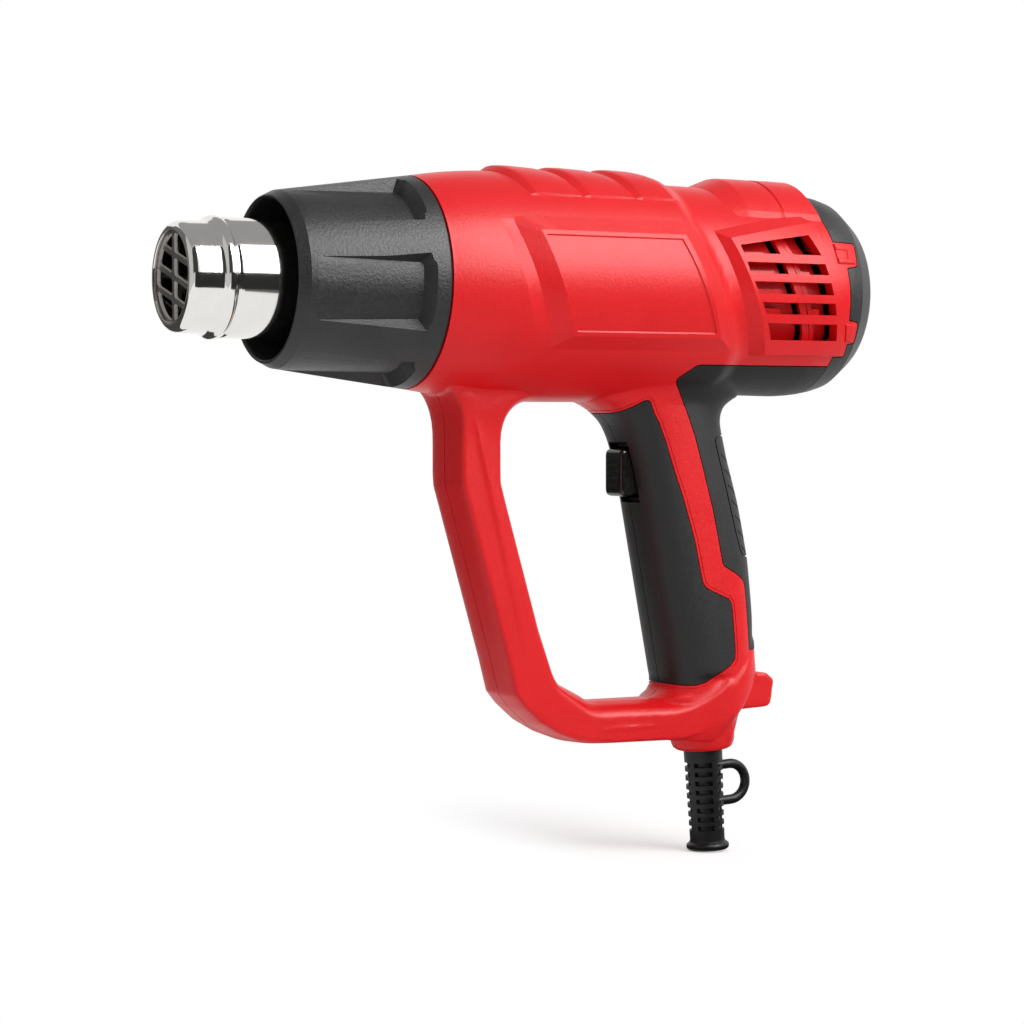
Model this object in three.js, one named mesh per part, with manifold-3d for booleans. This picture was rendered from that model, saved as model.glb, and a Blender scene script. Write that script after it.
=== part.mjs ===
// Hot air tool: a hand-held electric heat gun with a round barrel, a leaning grip inside a D-shaped loop,
// a fluted guard, a steel nozzle with a grille and a two-position rocker switch.
// Lengths are in millimetres. +Z is up, +X runs backwards along the barrel and the nozzle points along -X.
// The origin is the centre of the flat rear face, on the axis of the barrel.

import * as THREE from "three";
import { mergeVertices } from "three/addons/utils/BufferGeometryUtils.js";
import ManifoldModule from "manifold-3d";

const wasm = await ManifoldModule();
wasm.setup();

// Clearances and walls
const GAP = 0.3;
const WALL = 2.6;
const PAD = 2.5;
const GRIP_WALL = 2.2;
const STIFFENER = 1.6;
const STIFFENER_REACH = 3;
const STIFFENER_PLACES = [0.31, 0.52];
const BARREL_FACETS = 28;
const MIDDLE_FACETS = 20;
const SMALL_FACETS = 10;
const PIN_FACETS = 8;

// Lengths along the barrel, from the flat rear face forwards
const CAP_REACH = 15;
const HOUSING_INSET = 5;
const HOUSING_LENGTH = 153;
const GUARD_LENGTH = 48;
const NOZZLE_REACH = 31;

// Barrel radius, how far it is drawn in along the barrel, and where it changes
const BODY_RADIUS = 36;
const SEAM_INSET = 2.6;
const WAIST_INSET = 2;
const REAR_FACE_INSET = 8.8;
const REAR_DROP = 1;
const FRONT_TAPER = 30;
const WAIST_FROM_REAR = 62;
const WAIST_TAPER = 12;
const REAR_SHOULDER = 22;

// Ribbed pad and rear ridge on top of the barrel
const RIB_COUNT = 3;
const RIB_PITCH = 19.2;
const RIB_RISE = 1.9;
const RIB_BEVEL = 3.8;
const RIB_NOTCH = 0.9;
const RIBS_FROM_FRONT = 26.7;
const RIBS_RUN_OUT = 3;
const RIB_HALF_ANGLE = 35;
const RIDGE_RISE = 2.7;
const RIDGE_FROM_REAR = 48;
const RIDGE_LENGTH = 28;
const RIDGE_RAMP = 9;
const RIDGE_HALF_ANGLE = 46;

// Raised side panel with a shallow bare recess
const PANEL_RISE = 1.3;
const PANEL_HEIGHT = 41;
const PANEL_FRONT_TOP = 22;
const PANEL_LENGTH = 65;
const PANEL_FRONT_SLANT = 18.5;
const PANEL_REAR_SLANT = 24;
const PANEL_BEVEL = 3;
const RECESS_MARGIN_X = 10;
const RECESS_MARGIN_Z = 6;
const RECESS_DEPTH = 0.5;

// Side vents at the rear
const VENT_FROM_REAR = 35.3;
const VENT_MIDDLE_Z = -1.2;
const VENT_WIDTH = 26.7;
const VENT_SLANT = 21;
const VENT_SLOTS = 5;
const VENT_SLOT = 3.9;
const VENT_BAR = 2.9;
const VENT_FRAME_FRONT = 8;
const VENT_FRAME_REAR = 4;
const VENT_FRAME_HIGH = 4.5;
const VENT_FRAME_RISE = 1.5;

// Grip
const GRIP_LEAN = 10;
const GRIP_FROM_REAR = 62.6;
const GRIP_BELOW_BARREL = 10;
const GRIP_HEIGHT = 80;
const GRIP_DEPTH_TOP = 37;
const GRIP_DEPTH_BOTTOM = 34.6;
const GRIP_PALM_SWELL = 2;
const GRIP_WIDTH = 31;
const GRIP_SQUARENESS = 2.6;
const NECK_FRONT_FILLET = 12.5;
const NECK_REAR_FILLET = 9;
const GRIP_FACETS = 20;

// Base below the grip, with a lug at the back and the collar of the strain relief
const BASE_HEIGHT = 21.9;
const LUG_REACH = 7.6;
const LUG_HEIGHT = 12;
const LUG_WIDTH = 16;
const COLLAR_RADIUS = 11.6;
const COLLAR_MOUTH_RADIUS = 8.4;
const COLLAR_DROP = 4.7;
const COLLAR_OFFSET = -4.3;

// Loop in front of the grip
const LOOP_FROM_FRONT = 12.4;
const LOOP_BEND_DROP = 17;
const LOOP_LEAN = 16.2;
const LOOP_DEPTH = 17.8;
const LOOP_WIDTH = 20;
const LOOP_ROUND = 4;
const BAR_DEPTH = 12.8;
const LOOP_CORNER = 26;
const LOOP_WALL = 3;
const KEEL = 1.2;
const KEEL_FILLET = 11;
const BAR_FILLET = 5;

// Heat guard
const GUARD_TAPER = 6.4;
const GUARD_RIM = 2.1;
const GUARD_WALL = 2.2;
const GUARD_LIP = 2.6;
const FLUTES = 6;
const FLUTE_HALF_WIDTH = 8.4;
const FLUTE_DEPTH = 3.6;
const FLUTE_FROM_FRONT = 7;
const FLUTE_FROM_REAR = 8;
const FLUTE_BEVEL = 2.4;
const SPIGOT_LENGTH = 6;
const BULKHEAD = 3;

// Nozzle and heater
const NOZZLE_RADIUS = 18.4;
const COLLAR_34_RADIUS = 17;
const NOZZLE_COLLAR_LENGTH = 11.5;
const NOZZLE_WALL = 0.9;
const BEAD_RISE = 0.5;
const BEAD_WIDTH = 3;
const NOZZLE_LIP = 1.4;
const FLANGE_CLEAR = 2.9;
const FLANGE = 1.2;
const MICA_WALL = 0.6;
const GRILLE = 1;
const GRILLE_RIM = 2.4;
const GRILLE_BAR = 2;
const GRILLE_TILT = 14;
const FORMER_HALF_WIDTH = 12;
const FORMER_PLATE = 1;
const COIL_WIRE = 0.6;
const COIL_TURNS = 8;
const COIL_STEPS = 12;
const HEATER_BASE = 4;
const AIR_HOLE_RADIUS = 2.8;
const AIR_HOLES = 6;
const AIR_HOLE_PITCH = 10;
const CUTOUT_LENGTH = 5;
const CUTOUT_RADIUS = 4;

// Blower and motor
const SHROUD_FROM_WAIST = 2;
const SHROUD_LENGTH = 24;
const SHROUD_CLEAR = 1.9;
const SHROUD_WALL = 1.6;
const SHROUD_FLANGE = 2;
const BLADES = 10;
const BLADE = 1.3;
const BLADE_SWEEP = 18;
const IMPELLER_LENGTH = 15;
const IMPELLER_CLEAR = 1;
const HUB_RADIUS = 5;
const MOTOR_CLEAR = 2.6;
const MOTOR_LENGTH = 32;
const MOTOR_FROM_REAR = 34;
const MOTOR_WALL = 1.2;
const END_BELL = 5;
const SHAFT_RADIUS = 1.2;
const BUSH_RADIUS = 3;
const BUSH_LENGTH = 4;
const ARMATURE_LENGTH = 18;
const MOUNT_RING = 3;
const MOUNT_ARM = 6;

// Switch
const SLOT_DROP = 4.2;
const SLOT_HEIGHT = 19.6;
const SLOT_HALF_WIDTH = 7.1;
const SWITCH_DEPTH = 24;
const SWITCH_WALL = 1.1;
const POCKET_DEPTH = 9;
const ROCKER_HEIGHT = 12.8;
const ROCKER_PROUD = 4.5;
const ROCKER_PIVOT_DEPTH = 6.8;
const ROCKER_RIB = 0.5;
const ROCKER_RIBS = 5;
const PIN_RADIUS = 0.8;

// Supply board, terminals and cord clamp
const BOARD_LENGTH = 24;
const BOARD_WIDTH = 26;
const BOARD = 1.6;
const BOARD_ABOVE_FLOOR = 12;
const BOARD_FROM_REAR = 26;
const RECTIFIER = 9;
const RECTIFIER_HEIGHT = 4;
const CAPACITOR_RADIUS = 2.5;
const TERMINAL_DROP = 52;
const TERMINAL_HEIGHT = 12;
const TERMINAL_HALF_WIDTH = 6;
const CLAMP_LENGTH = 17;
const CLAMP_HEIGHT = 6;
const CLAMP = 3;
const CLAMP_ABOVE_BASE = 16.9;
const POST_RADIUS = 3;
const LEAD_RADIUS = 1.1;

// Screws
const SCREW_RADIUS = 1.45;
const SCREW_HEAD_RADIUS = 2.9;
const SCREW_HEAD = 2;
const SCREW_LENGTH = 12;
const SCREW_SEAT_Y = 6;
const BOSS_RADIUS = 4.8;
const BARREL_SCREW_AHEAD = 16;
const LOOP_SCREW_INSET = 13.65;
const LOOP_SCREW_DROP = 14;
const BAR_SCREW_AHEAD = 34;
const GRIP_SCREW_DROP = 42;
const GRIP_SCREW_OFFSET = 1.9;

// Strain relief sleeve
const SLEEVE_TOP_RADIUS = 6.3;
const SLEEVE_END_RADIUS = 6;
const SLEEVE_BORE = 3.6;
const SLEEVE_DROP = 31;
const SLEEVE_TILT = 3.5;
const SLEEVE_FLANGE_RADIUS = 7.2;
const SLEEVE_FLANGE = 2.4;
const SLEEVE_ROOT = 10;
const SLEEVE_ROOT_FLANGE = 2.4;
const SLEEVE_ROWS = 6;
const SLEEVE_SLOT = 1.7;
const SLEEVE_WEB = 1.6;
const SLEEVE_BACK = 2.4;
const EYE_CORD = 1.6;
const EYE_RADIUS = 6;
const EYE_REACH = 5.6;
const EYE_DROP = 11;

// Places and radii that follow from the sizes
const SEAM_RADIUS = BODY_RADIUS - SEAM_INSET;
const WAIST_RADIUS = BODY_RADIUS - WAIST_INSET;
const REAR_FACE_RADIUS = BODY_RADIUS - REAR_FACE_INSET;
const GUARD_FRONT_RADIUS = SEAM_RADIUS - GUARD_TAPER;
const GUARD_MOUTH_RADIUS = GUARD_FRONT_RADIUS - GUARD_RIM;
const SHROUD_RADIUS = WAIST_RADIUS - WALL - SHROUD_CLEAR;
const SPIGOT_RADIUS = SEAM_RADIUS - WALL - GAP;
const FLANGE_RADIUS = SPIGOT_RADIUS - WALL - FLANGE_CLEAR;
const GRIP_TOP_Z = -BODY_RADIUS - GRIP_BELOW_BARREL;
const GRIP_BOTTOM_Z = GRIP_TOP_Z - GRIP_HEIGHT;
const BASE_BOTTOM_Z = GRIP_BOTTOM_Z - BASE_HEIGHT;
const LOOP_BEND_Z = GRIP_TOP_Z - LOOP_BEND_DROP;
const SLOT_TOP_Z = GRIP_TOP_Z - SLOT_DROP;
const BOARD_Z = -WAIST_RADIUS + BOARD_ABOVE_FLOOR;
const MOTOR_RADIUS = -BOARD_Z - BOARD - RECTIFIER_HEIGHT - MOTOR_CLEAR;
const TERMINAL_TOP_Z = GRIP_TOP_Z - TERMINAL_DROP;
const CLAMP_Z = BASE_BOTTOM_Z + CLAMP_ABOVE_BASE;
const HOUSING_FRONT_X = -HOUSING_INSET - HOUSING_LENGTH;
const GUARD_FRONT_X = HOUSING_FRONT_X - GUARD_LENGTH;
const NOZZLE_TIP_X = GUARD_FRONT_X - NOZZLE_REACH;
const SPIGOT_FRONT_X = HOUSING_FRONT_X - SPIGOT_LENGTH;
const BULKHEAD_REAR_X = SPIGOT_FRONT_X + BULKHEAD;
const FLANGE_REAR_X = BULKHEAD_REAR_X + GAP + FLANGE;
const TUBE_INNER = NOZZLE_RADIUS - NOZZLE_WALL;
const SHROUD_REAR_X = -WAIST_FROM_REAR - WAIST_TAPER - SHROUD_FROM_WAIST;
const SHROUD_FRONT_X = SHROUD_REAR_X - SHROUD_LENGTH;
const CAVITY_INSET = PAD + GAP + GRIP_WALL;
const FAR = 400;

const radians = THREE.MathUtils.degToRad;
const slope = (degrees) => Math.tan(radians(degrees));

// Solids and shapes

// Closed geometry made into a body that can be joined and cut
function solid(geometry) {
  geometry.deleteAttribute("normal");
  geometry.deleteAttribute("uv");
  const merged = mergeVertices(geometry, 1e-4);
  const points = merged.attributes.position;
  const corners = merged.index.array;
  const kept = [];
  let volume = 0;
  for (let i = 0; i < corners.length; i += 3) {
    const [a, b, c] = corners.slice(i, i + 3);
    if (a !== b && b !== c && a !== c) {
      kept.push(a, b, c);
      const [p, q, r] = [a, b, c].map((k) => new THREE.Vector3().fromBufferAttribute(points, k));
      volume += p.dot(q.cross(r));
    }
  }
  if (volume < 0) {
    kept.reverse();
  }
  return new wasm.Manifold(new wasm.Mesh({
    numProp: 3,
    vertProperties: new Float32Array(points.array),
    triVerts: new Uint32Array(kept),
  }));
}

const joined = (...bodies) => wasm.Manifold.union(bodies.flat());
const cut = (body, ...tools) => tools.flat().reduce((left, tool) => left.subtract(tool), body);
const common = (first, second) => first.intersect(second);

// A profile of [x, radius] points turned about the axis of the barrel
function turned(profile, facets = BARREL_FACETS) {
  const points = profile.map(([x, r]) => new THREE.Vector2(r, x));
  return new THREE.LatheGeometry(points, facets).rotateZ(-Math.PI / 2);
}

// A profile of [radius, z] points turned about an upright axis
function upright(profile, facets = SMALL_FACETS) {
  const points = profile.map(([r, z]) => new THREE.Vector2(r, z));
  return new THREE.LatheGeometry(points, facets).rotateX(Math.PI / 2);
}

const disc = (x0, x1, r, facets) => turned([[x0, 0], [x0, r], [x1, r], [x1, 0]], facets);

function ring(x0, x1, outer, inner, facets) {
  return turned([[x0, inner], [x0, outer], [x1, outer], [x1, inner], [x0, inner]], facets);
}

function block(x0, x1, y0, y1, z0, z1) {
  const geometry = new THREE.BoxGeometry(x1 - x0, y1 - y0, z1 - z0);
  return geometry.translate((x0 + x1) / 2, (y0 + y1) / 2, (z0 + z1) / 2);
}

// A round bar across the tool at [x, z], from y0 to y1
function crossBar(x, z, y0, y1, radius, facets = SMALL_FACETS) {
  return new THREE.CylinderGeometry(radius, radius, y1 - y0, facets).translate(x, (y0 + y1) / 2, z);
}

// A flat outline of [x, z] points carried across from y0 to y1, with rounded rims where bevel is above 0
function slab(outline, y0, y1, bevel = 0) {
  const shape = new THREE.Shape(outline.map(([x, z]) => new THREE.Vector2(x, z)));
  const geometry = new THREE.ExtrudeGeometry(shape, {
    depth: y1 - y0 - 2 * bevel,
    bevelEnabled: bevel > 0,
    bevelThickness: bevel,
    bevelSize: bevel,
    bevelOffset: -bevel,
    bevelSegments: 2,
  });
  return geometry.rotateX(Math.PI / 2).translate(0, y1 - bevel, 0);
}

const through = (outline) => slab(outline, -FAR, FAR);

// A skin over rings of points, closed flat at both ends
function loft(rings) {
  const count = rings[0].length;
  const index = [];
  rings.slice(1).forEach((_, r) => {
    for (let i = 0; i < count; i += 1) {
      const a = r * count + i;
      const b = r * count + ((i + 1) % count);
      index.push(a, b, a + count, b, b + count, a + count);
    }
  });
  const last = (rings.length - 1) * count;
  for (let i = 1; i + 1 < count; i += 1) {
    index.push(0, i + 1, i, last, last + i, last + i + 1);
  }
  const geometry = new THREE.BufferGeometry();
  const positions = rings.flat().flatMap((point) => point.toArray());
  geometry.setAttribute("position", new THREE.Float32BufferAttribute(positions, 3));
  geometry.setIndex(index);
  return geometry;
}

// An outline moved outwards by a distance, or inwards if it is negative
function grown(outline, distance) {
  const points = outline.map(([x, z]) => new THREE.Vector2(x, z));
  const way = THREE.ShapeUtils.isClockWise(points) ? -1 : 1;
  const count = points.length;
  return points.map((point, i) => {
    const before = point.clone().sub(points[(i + count - 1) % count]).normalize();
    const after = points[(i + 1) % count].clone().sub(point).normalize();
    const n1 = new THREE.Vector2(before.y, -before.x).multiplyScalar(way);
    const n2 = new THREE.Vector2(after.y, -after.x).multiplyScalar(way);
    const corner = n1.clone().add(n2).multiplyScalar(distance / (1 + n1.dot(n2)));
    return [point.x + corner.x, point.y + corner.y];
  });
}

// A four-sided outline at y0 stretched to another at y1
function frustum(outline0, y0, outline1, y1) {
  const rings = [[outline0, y0], [outline1, y1]];
  return loft(rings.map(([outline, y]) => outline.map(([x, z]) => new THREE.Vector3(x, y, z))));
}

// A sector above the axis, half an angle to each side, from x0 to x1
function topSector(x0, x1, halfAngle) {
  const y = FAR * Math.sin(radians(halfAngle));
  const z = FAR * Math.cos(radians(halfAngle));
  const corners = [[0, 0], [-y, z], [y, z]];
  return loft([x0, x1].map((x) => corners.map(([cy, cz]) => new THREE.Vector3(x, cy, cz))));
}

// A round wire along a smooth path
function wire(path, radius) {
  const curve = new THREE.CatmullRomCurve3(path.map((p) => new THREE.Vector3(...p)));
  const shape = new THREE.Shape().absarc(0, 0, radius, 0, 2 * Math.PI);
  const options = { steps: 26, curveSegments: 3, bevelEnabled: false, extrudePath: curve };
  return new THREE.ExtrudeGeometry(shape, options);
}

const mirrored = (outline) => outline.map(([x, y, z]) => [x, -y, z]);

// A named mesh with its own finish
function piece(name, body, color, roughness, metalness = 0) {
  const data = body.getMesh();
  const geometry = new THREE.BufferGeometry();
  geometry.setAttribute("position", new THREE.BufferAttribute(new Float32Array(data.vertProperties), 3));
  geometry.setIndex(new THREE.BufferAttribute(new Uint32Array(data.triVerts), 1));
  geometry.computeVertexNormals();
  const mesh = new THREE.Mesh(geometry, new THREE.MeshStandardMaterial({ color, roughness, metalness }));
  mesh.name = name;
  return mesh;
}

const RED = 0xc8202a;
const BLACK = 0x1d1d1f;
const SOFT = 0x2a2a2c;
const STEEL = 0xc9ccd0;
const ZINC = 0x9a9da1;
const MICA = 0xb9a98a;
const BOARD_GREEN = 0x2f6b3a;
const BRONZE = 0x9c7a45;
const CERAMIC = 0xe6e2d8;
const COPPER = 0xb06a3c;

// Barrel

// Outer profile of the barrel from the seam to the flat rear face, drawn in by an inset
function barrelProfile(inset) {
  const taper = [0, 0.4, 1].map((t) => [
    HOUSING_FRONT_X + t * FRONT_TAPER,
    SEAM_RADIUS + (BODY_RADIUS - SEAM_RADIUS) * (1 - (1 - t) ** 2),
  ]);
  const rear = [
    [-WAIST_FROM_REAR - WAIST_TAPER, BODY_RADIUS],
    [-WAIST_FROM_REAR - WAIST_TAPER / 2, (BODY_RADIUS + WAIST_RADIUS) / 2],
    [-WAIST_FROM_REAR, WAIST_RADIUS],
    [-REAR_SHOULDER, WAIST_RADIUS],
    [-REAR_SHOULDER * 0.5, WAIST_RADIUS - 1.3],
    [-REAR_SHOULDER * 0.2, WAIST_RADIUS - 3.4],
    [0, REAR_FACE_RADIUS],
  ];
  const curve = [...taper, ...rear].map(([x, r]) => [x, r - inset]);
  return [[HOUSING_FRONT_X, 0], ...curve, [0, 0]];
}

// The barrel's rear sits a little lower than its front
function barrel(inset = 0) {
  const geometry = turned(barrelProfile(inset));
  const points = geometry.attributes.position;
  for (let i = 0; i < points.count; i += 1) {
    const from = points.getX(i) + WAIST_FROM_REAR + WAIST_TAPER;
    const part = from / (WAIST_FROM_REAR + WAIST_TAPER - REAR_SHOULDER);
    points.setZ(i, points.getZ(i) - REAR_DROP * THREE.MathUtils.clamp(part, 0, 1));
  }
  return solid(geometry);
}

function topRibs() {
  const start = HOUSING_FRONT_X + RIBS_FROM_FRONT;
  const end = start + RIB_COUNT * RIB_PITCH + RIBS_RUN_OUT;
  const low = BODY_RADIUS + RIB_RISE - RIB_NOTCH;
  const high = BODY_RADIUS + RIB_RISE;
  const profile = [[start, 0], [start, BODY_RADIUS - WALL / 2]];
  for (let k = 0; k < RIB_COUNT; k += 1) {
    const x = start + k * RIB_PITCH;
    profile.push([x + GAP, k === 0 ? BODY_RADIUS : low]);
    profile.push([x + RIB_BEVEL, high]);
    profile.push([x + RIB_PITCH, high - GAP]);
  }
  profile.push([end, WAIST_RADIUS], [end, 0]);
  return common(solid(turned(profile)), solid(topSector(start - 1, end + 1, RIB_HALF_ANGLE)));
}

function rearRidge() {
  const start = -RIDGE_FROM_REAR;
  const end = start + RIDGE_LENGTH;
  const high = WAIST_RADIUS + RIDGE_RISE;
  const profile = [
    [start - RIDGE_RAMP, 0],
    [start - RIDGE_RAMP, WAIST_RADIUS - WALL / 2],
    [start, high],
    [end, high - GAP],
    [-HOUSING_INSET, WAIST_RADIUS - REAR_DROP - 2],
    [-HOUSING_INSET, 0],
  ];
  return common(solid(turned(profile)), solid(topSector(start - FAR, FAR, RIDGE_HALF_ANGLE)));
}

// Side panel, on the left side if side is -1 and on the right if it is 1
const panelOutline = (() => {
  const top = PANEL_HEIGHT / 2 - 1;
  const bottom = top - PANEL_HEIGHT;
  const front = HOUSING_FRONT_X + PANEL_FRONT_TOP;
  const rear = front + PANEL_LENGTH;
  return [
    [front, top],
    [front + PANEL_HEIGHT * slope(PANEL_FRONT_SLANT), bottom],
    [rear + PANEL_HEIGHT * slope(PANEL_REAR_SLANT), bottom],
    [rear, top],
  ];
})();

function sidePanel(side) {
  const base = side * BODY_RADIUS * 0.6;
  const crown = side * (BODY_RADIUS + PANEL_RISE + 1);
  const [foot, edge] = [PANEL_BEVEL, -PANEL_BEVEL / 2].map((distance) => grown(panelOutline, distance));
  const rise = frustum(foot, base, edge, crown);
  return common(barrel(-PANEL_RISE), solid(rise));
}

function panelRecess(side) {
  const shift = RECESS_MARGIN_X - RECESS_MARGIN_Z;
  const inner = grown(panelOutline, -RECESS_MARGIN_Z);
  const outline = inner.map(([x, z], i) => [x + (i < 2 ? shift : -shift / 2), z]);
  const y = side * FAR;
  return cut(solid(slab(outline, Math.min(0, y), Math.max(0, y))), barrel(RECESS_DEPTH - PANEL_RISE));
}

// Slanted outline about the vent's middle, between two heights, with margins at its ends
function ventOutline(z0, z1, front, rear) {
  const corner = (z, way) => [-VENT_FROM_REAR - z * slope(VENT_SLANT) + way, VENT_MIDDLE_Z + z];
  const [f, r] = [-VENT_WIDTH / 2 - front, VENT_WIDTH / 2 + rear];
  return [corner(z1, f), corner(z0, f), corner(z0, r), corner(z1, r)];
}

const VENT_HEIGHT = VENT_SLOTS * VENT_SLOT + (VENT_SLOTS - 1) * VENT_BAR;

function ventFrame(side) {
  const half = VENT_HEIGHT / 2 + VENT_FRAME_HIGH;
  const outline = ventOutline(-half, half, VENT_FRAME_FRONT, VENT_FRAME_REAR);
  const base = side * WAIST_RADIUS * 0.5;
  const crown = side * (WAIST_RADIUS + VENT_FRAME_RISE + 1);
  const rise = frustum(grown(outline, 1), base, grown(outline, -1), crown);
  return common(barrel(-VENT_FRAME_RISE), solid(rise));
}

function ventSlots() {
  const rows = Array.from({ length: VENT_SLOTS }, (_, k) => -VENT_HEIGHT / 2 + k * (VENT_SLOT + VENT_BAR));
  return rows.map((z) => solid(through(ventOutline(z, z + VENT_SLOT, 0, 0))));
}

// Edge between the red housing and the black rear cap, seen from the side, with two tabs that reach back
const capOutline = [
  [-HOUSING_INSET, FAR],
  [-HOUSING_INSET, WAIST_RADIUS - 1.5],
  [-CAP_REACH, WAIST_RADIUS * 0.47],
  [-CAP_REACH, WAIST_RADIUS * 0.43],
  [-HOUSING_INSET - 1, WAIST_RADIUS * 0.4],
  [-HOUSING_INSET - 1, WAIST_RADIUS * 0.2],
  [-HOUSING_INSET - 5, WAIST_RADIUS * 0.165],
  [-HOUSING_INSET - 5, WAIST_RADIUS * -0.3],
  [-HOUSING_INSET - 1, WAIST_RADIUS * -0.325],
  [-HOUSING_INSET - 1, WAIST_RADIUS * -0.53],
  [-HOUSING_INSET - 5, WAIST_RADIUS * -0.55],
  [-CAP_REACH, WAIST_RADIUS * -0.7],
  [-CAP_REACH, -FAR],
  [FAR, -FAR],
  [FAR, FAR],
];

function rearCap() {
  const shell = common(barrel(), solid(through(capOutline)));
  const hollow = common(barrel(WALL + GAP), solid(block(-FAR, -WALL, -FAR, FAR, -FAR, FAR)));
  return cut(shell, hollow);
}

// Grip

const gripAxisX = (z) => -GRIP_FROM_REAR + (GRIP_TOP_Z - z) * slope(GRIP_LEAN);
const onGrip = ([offset, rise]) => [gripAxisX(GRIP_TOP_Z + rise) + offset, GRIP_TOP_Z + rise];

// Extra reach of a fillet that ends level at neckZ
function flare(z, radius, neckZ) {
  const rise = THREE.MathUtils.clamp(z - neckZ + radius, 0, radius);
  return radius - Math.sqrt(radius ** 2 - rise ** 2);
}

function gripReach(z, inset) {
  const t = THREE.MathUtils.clamp((GRIP_TOP_Z - z) / (GRIP_TOP_Z - GRIP_BOTTOM_Z), -1, 1);
  const half = (GRIP_DEPTH_TOP + t * (GRIP_DEPTH_BOTTOM - GRIP_DEPTH_TOP)) / 2;
  const low = THREE.MathUtils.clamp((GRIP_BOTTOM_Z - z) / (GRIP_BOTTOM_Z - BASE_BOTTOM_Z), 0, 1);
  const swell = GRIP_PALM_SWELL * Math.sin(Math.PI * Math.max(0, t));
  return {
    front: half + flare(z, NECK_FRONT_FILLET, -BODY_RADIUS - 4) - 3 * low - inset,
    rear: half + swell + flare(z, NECK_REAR_FILLET, -WAIST_RADIUS - 2) - 9 * low - 2 * low ** 3 - inset,
    side: GRIP_WIDTH / 2 + flare(z, NECK_REAR_FILLET, -WAIST_RADIUS - 1) - 2.5 * low ** 2 - inset,
  };
}

function gripRing(z, inset) {
  const { front, rear, side } = gripReach(z, inset);
  const bend = 2 / GRIP_SQUARENESS;
  return Array.from({ length: GRIP_FACETS }, (_, i) => {
    const turn = ((i + 0.5) / GRIP_FACETS) * 2 * Math.PI;
    const [c, s] = [Math.cos(turn), Math.sin(turn)];
    const along = (c < 0 ? front : rear) * Math.sign(c) * Math.abs(c) ** bend;
    const across = side * Math.sign(s) * Math.abs(s) ** bend;
    return new THREE.Vector3(gripAxisX(z) + along, across, z);
  });
}

// Heights where the grip's section is drawn, from inside the barrel down to a floor
function gripHeights(floor) {
  const neck = -BODY_RADIUS - 4;
  const steps = [-BODY_RADIUS * 0.6, neck + 5, neck + 2.5, neck, neck - 2, neck - 6, neck - 14];
  const shaft = [0.5].map((t) => GRIP_TOP_Z + t * (GRIP_BOTTOM_Z - GRIP_TOP_Z));
  const base = [0, 0.5, 1].map((t) => GRIP_BOTTOM_Z + t * (BASE_BOTTOM_Z - GRIP_BOTTOM_Z));
  return [...steps, ...shaft, ...base].filter((z) => z > floor + 1).concat(floor);
}

const grip = (inset, floor) => solid(loft(gripHeights(floor).map((z) => gripRing(z, inset))));

// Outline of the front pad as [offset from the grip's axis, height above the grip's top]
const frontPadOutline = [
  [-44.6, 5.4],
  [-28.6, 5.3],
  [-20.4, 6.6],
  [-13.7, 9.5],
  [-12.3, 8.4],
  [-9.8, -3.4],
  [-6.5, -22.5],
  [-3.9, -49.5],
  [-2.3, -52.5],
  [6.7, -55],
  [7.1, -57],
  [5.4, -76],
  [3.5, -78],
  [-6.2, -81.6],
  [-17, -81.8],
  [-37.6, -79.5],
].map(onGrip);

// Outline of the back pad, under the rear of the barrel and down the back of the grip
const backPadOutline = [
  onGrip([-1, 16.2]),
  onGrip([4.8, 20.5]),
  [-CAP_REACH - GAP, GRIP_TOP_Z + 20.5],
  [-CAP_REACH - GAP, GRIP_TOP_Z - 72.4],
  onGrip([11.9, -72.4]),
  onGrip([13.1, -55.6]),
  onGrip([12.9, -49.5]),
  onGrip([6.3, -44.4]),
  onGrip([4.8, -23.4]),
  onGrip([3.3, -8.5]),
];

const PAD_FLOOR_Z = BASE_BOTTOM_Z + 8;
const padSkin = cut(
  joined(barrel(), grip(0, BASE_BOTTOM_Z)),
  joined(barrel(PAD), grip(PAD, PAD_FLOOR_Z)),
);

const switchSlot = solid(block(
  gripAxisX(SLOT_TOP_Z) - GRIP_DEPTH_TOP,
  gripAxisX(SLOT_TOP_Z),
  -SLOT_HALF_WIDTH,
  SLOT_HALF_WIDTH,
  SLOT_TOP_Z - SLOT_HEIGHT,
  SLOT_TOP_Z,
));

const frontPad = cut(common(padSkin, solid(through(frontPadOutline))), switchSlot);
const backPad = common(padSkin, solid(through(backPadOutline)));

// Loop

const LOOP_FRONT_X = HOUSING_FRONT_X + LOOP_FROM_FRONT;
const loopOuterX = (z) => LOOP_FRONT_X + (LOOP_BEND_Z - z) * slope(LOOP_LEAN);

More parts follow.
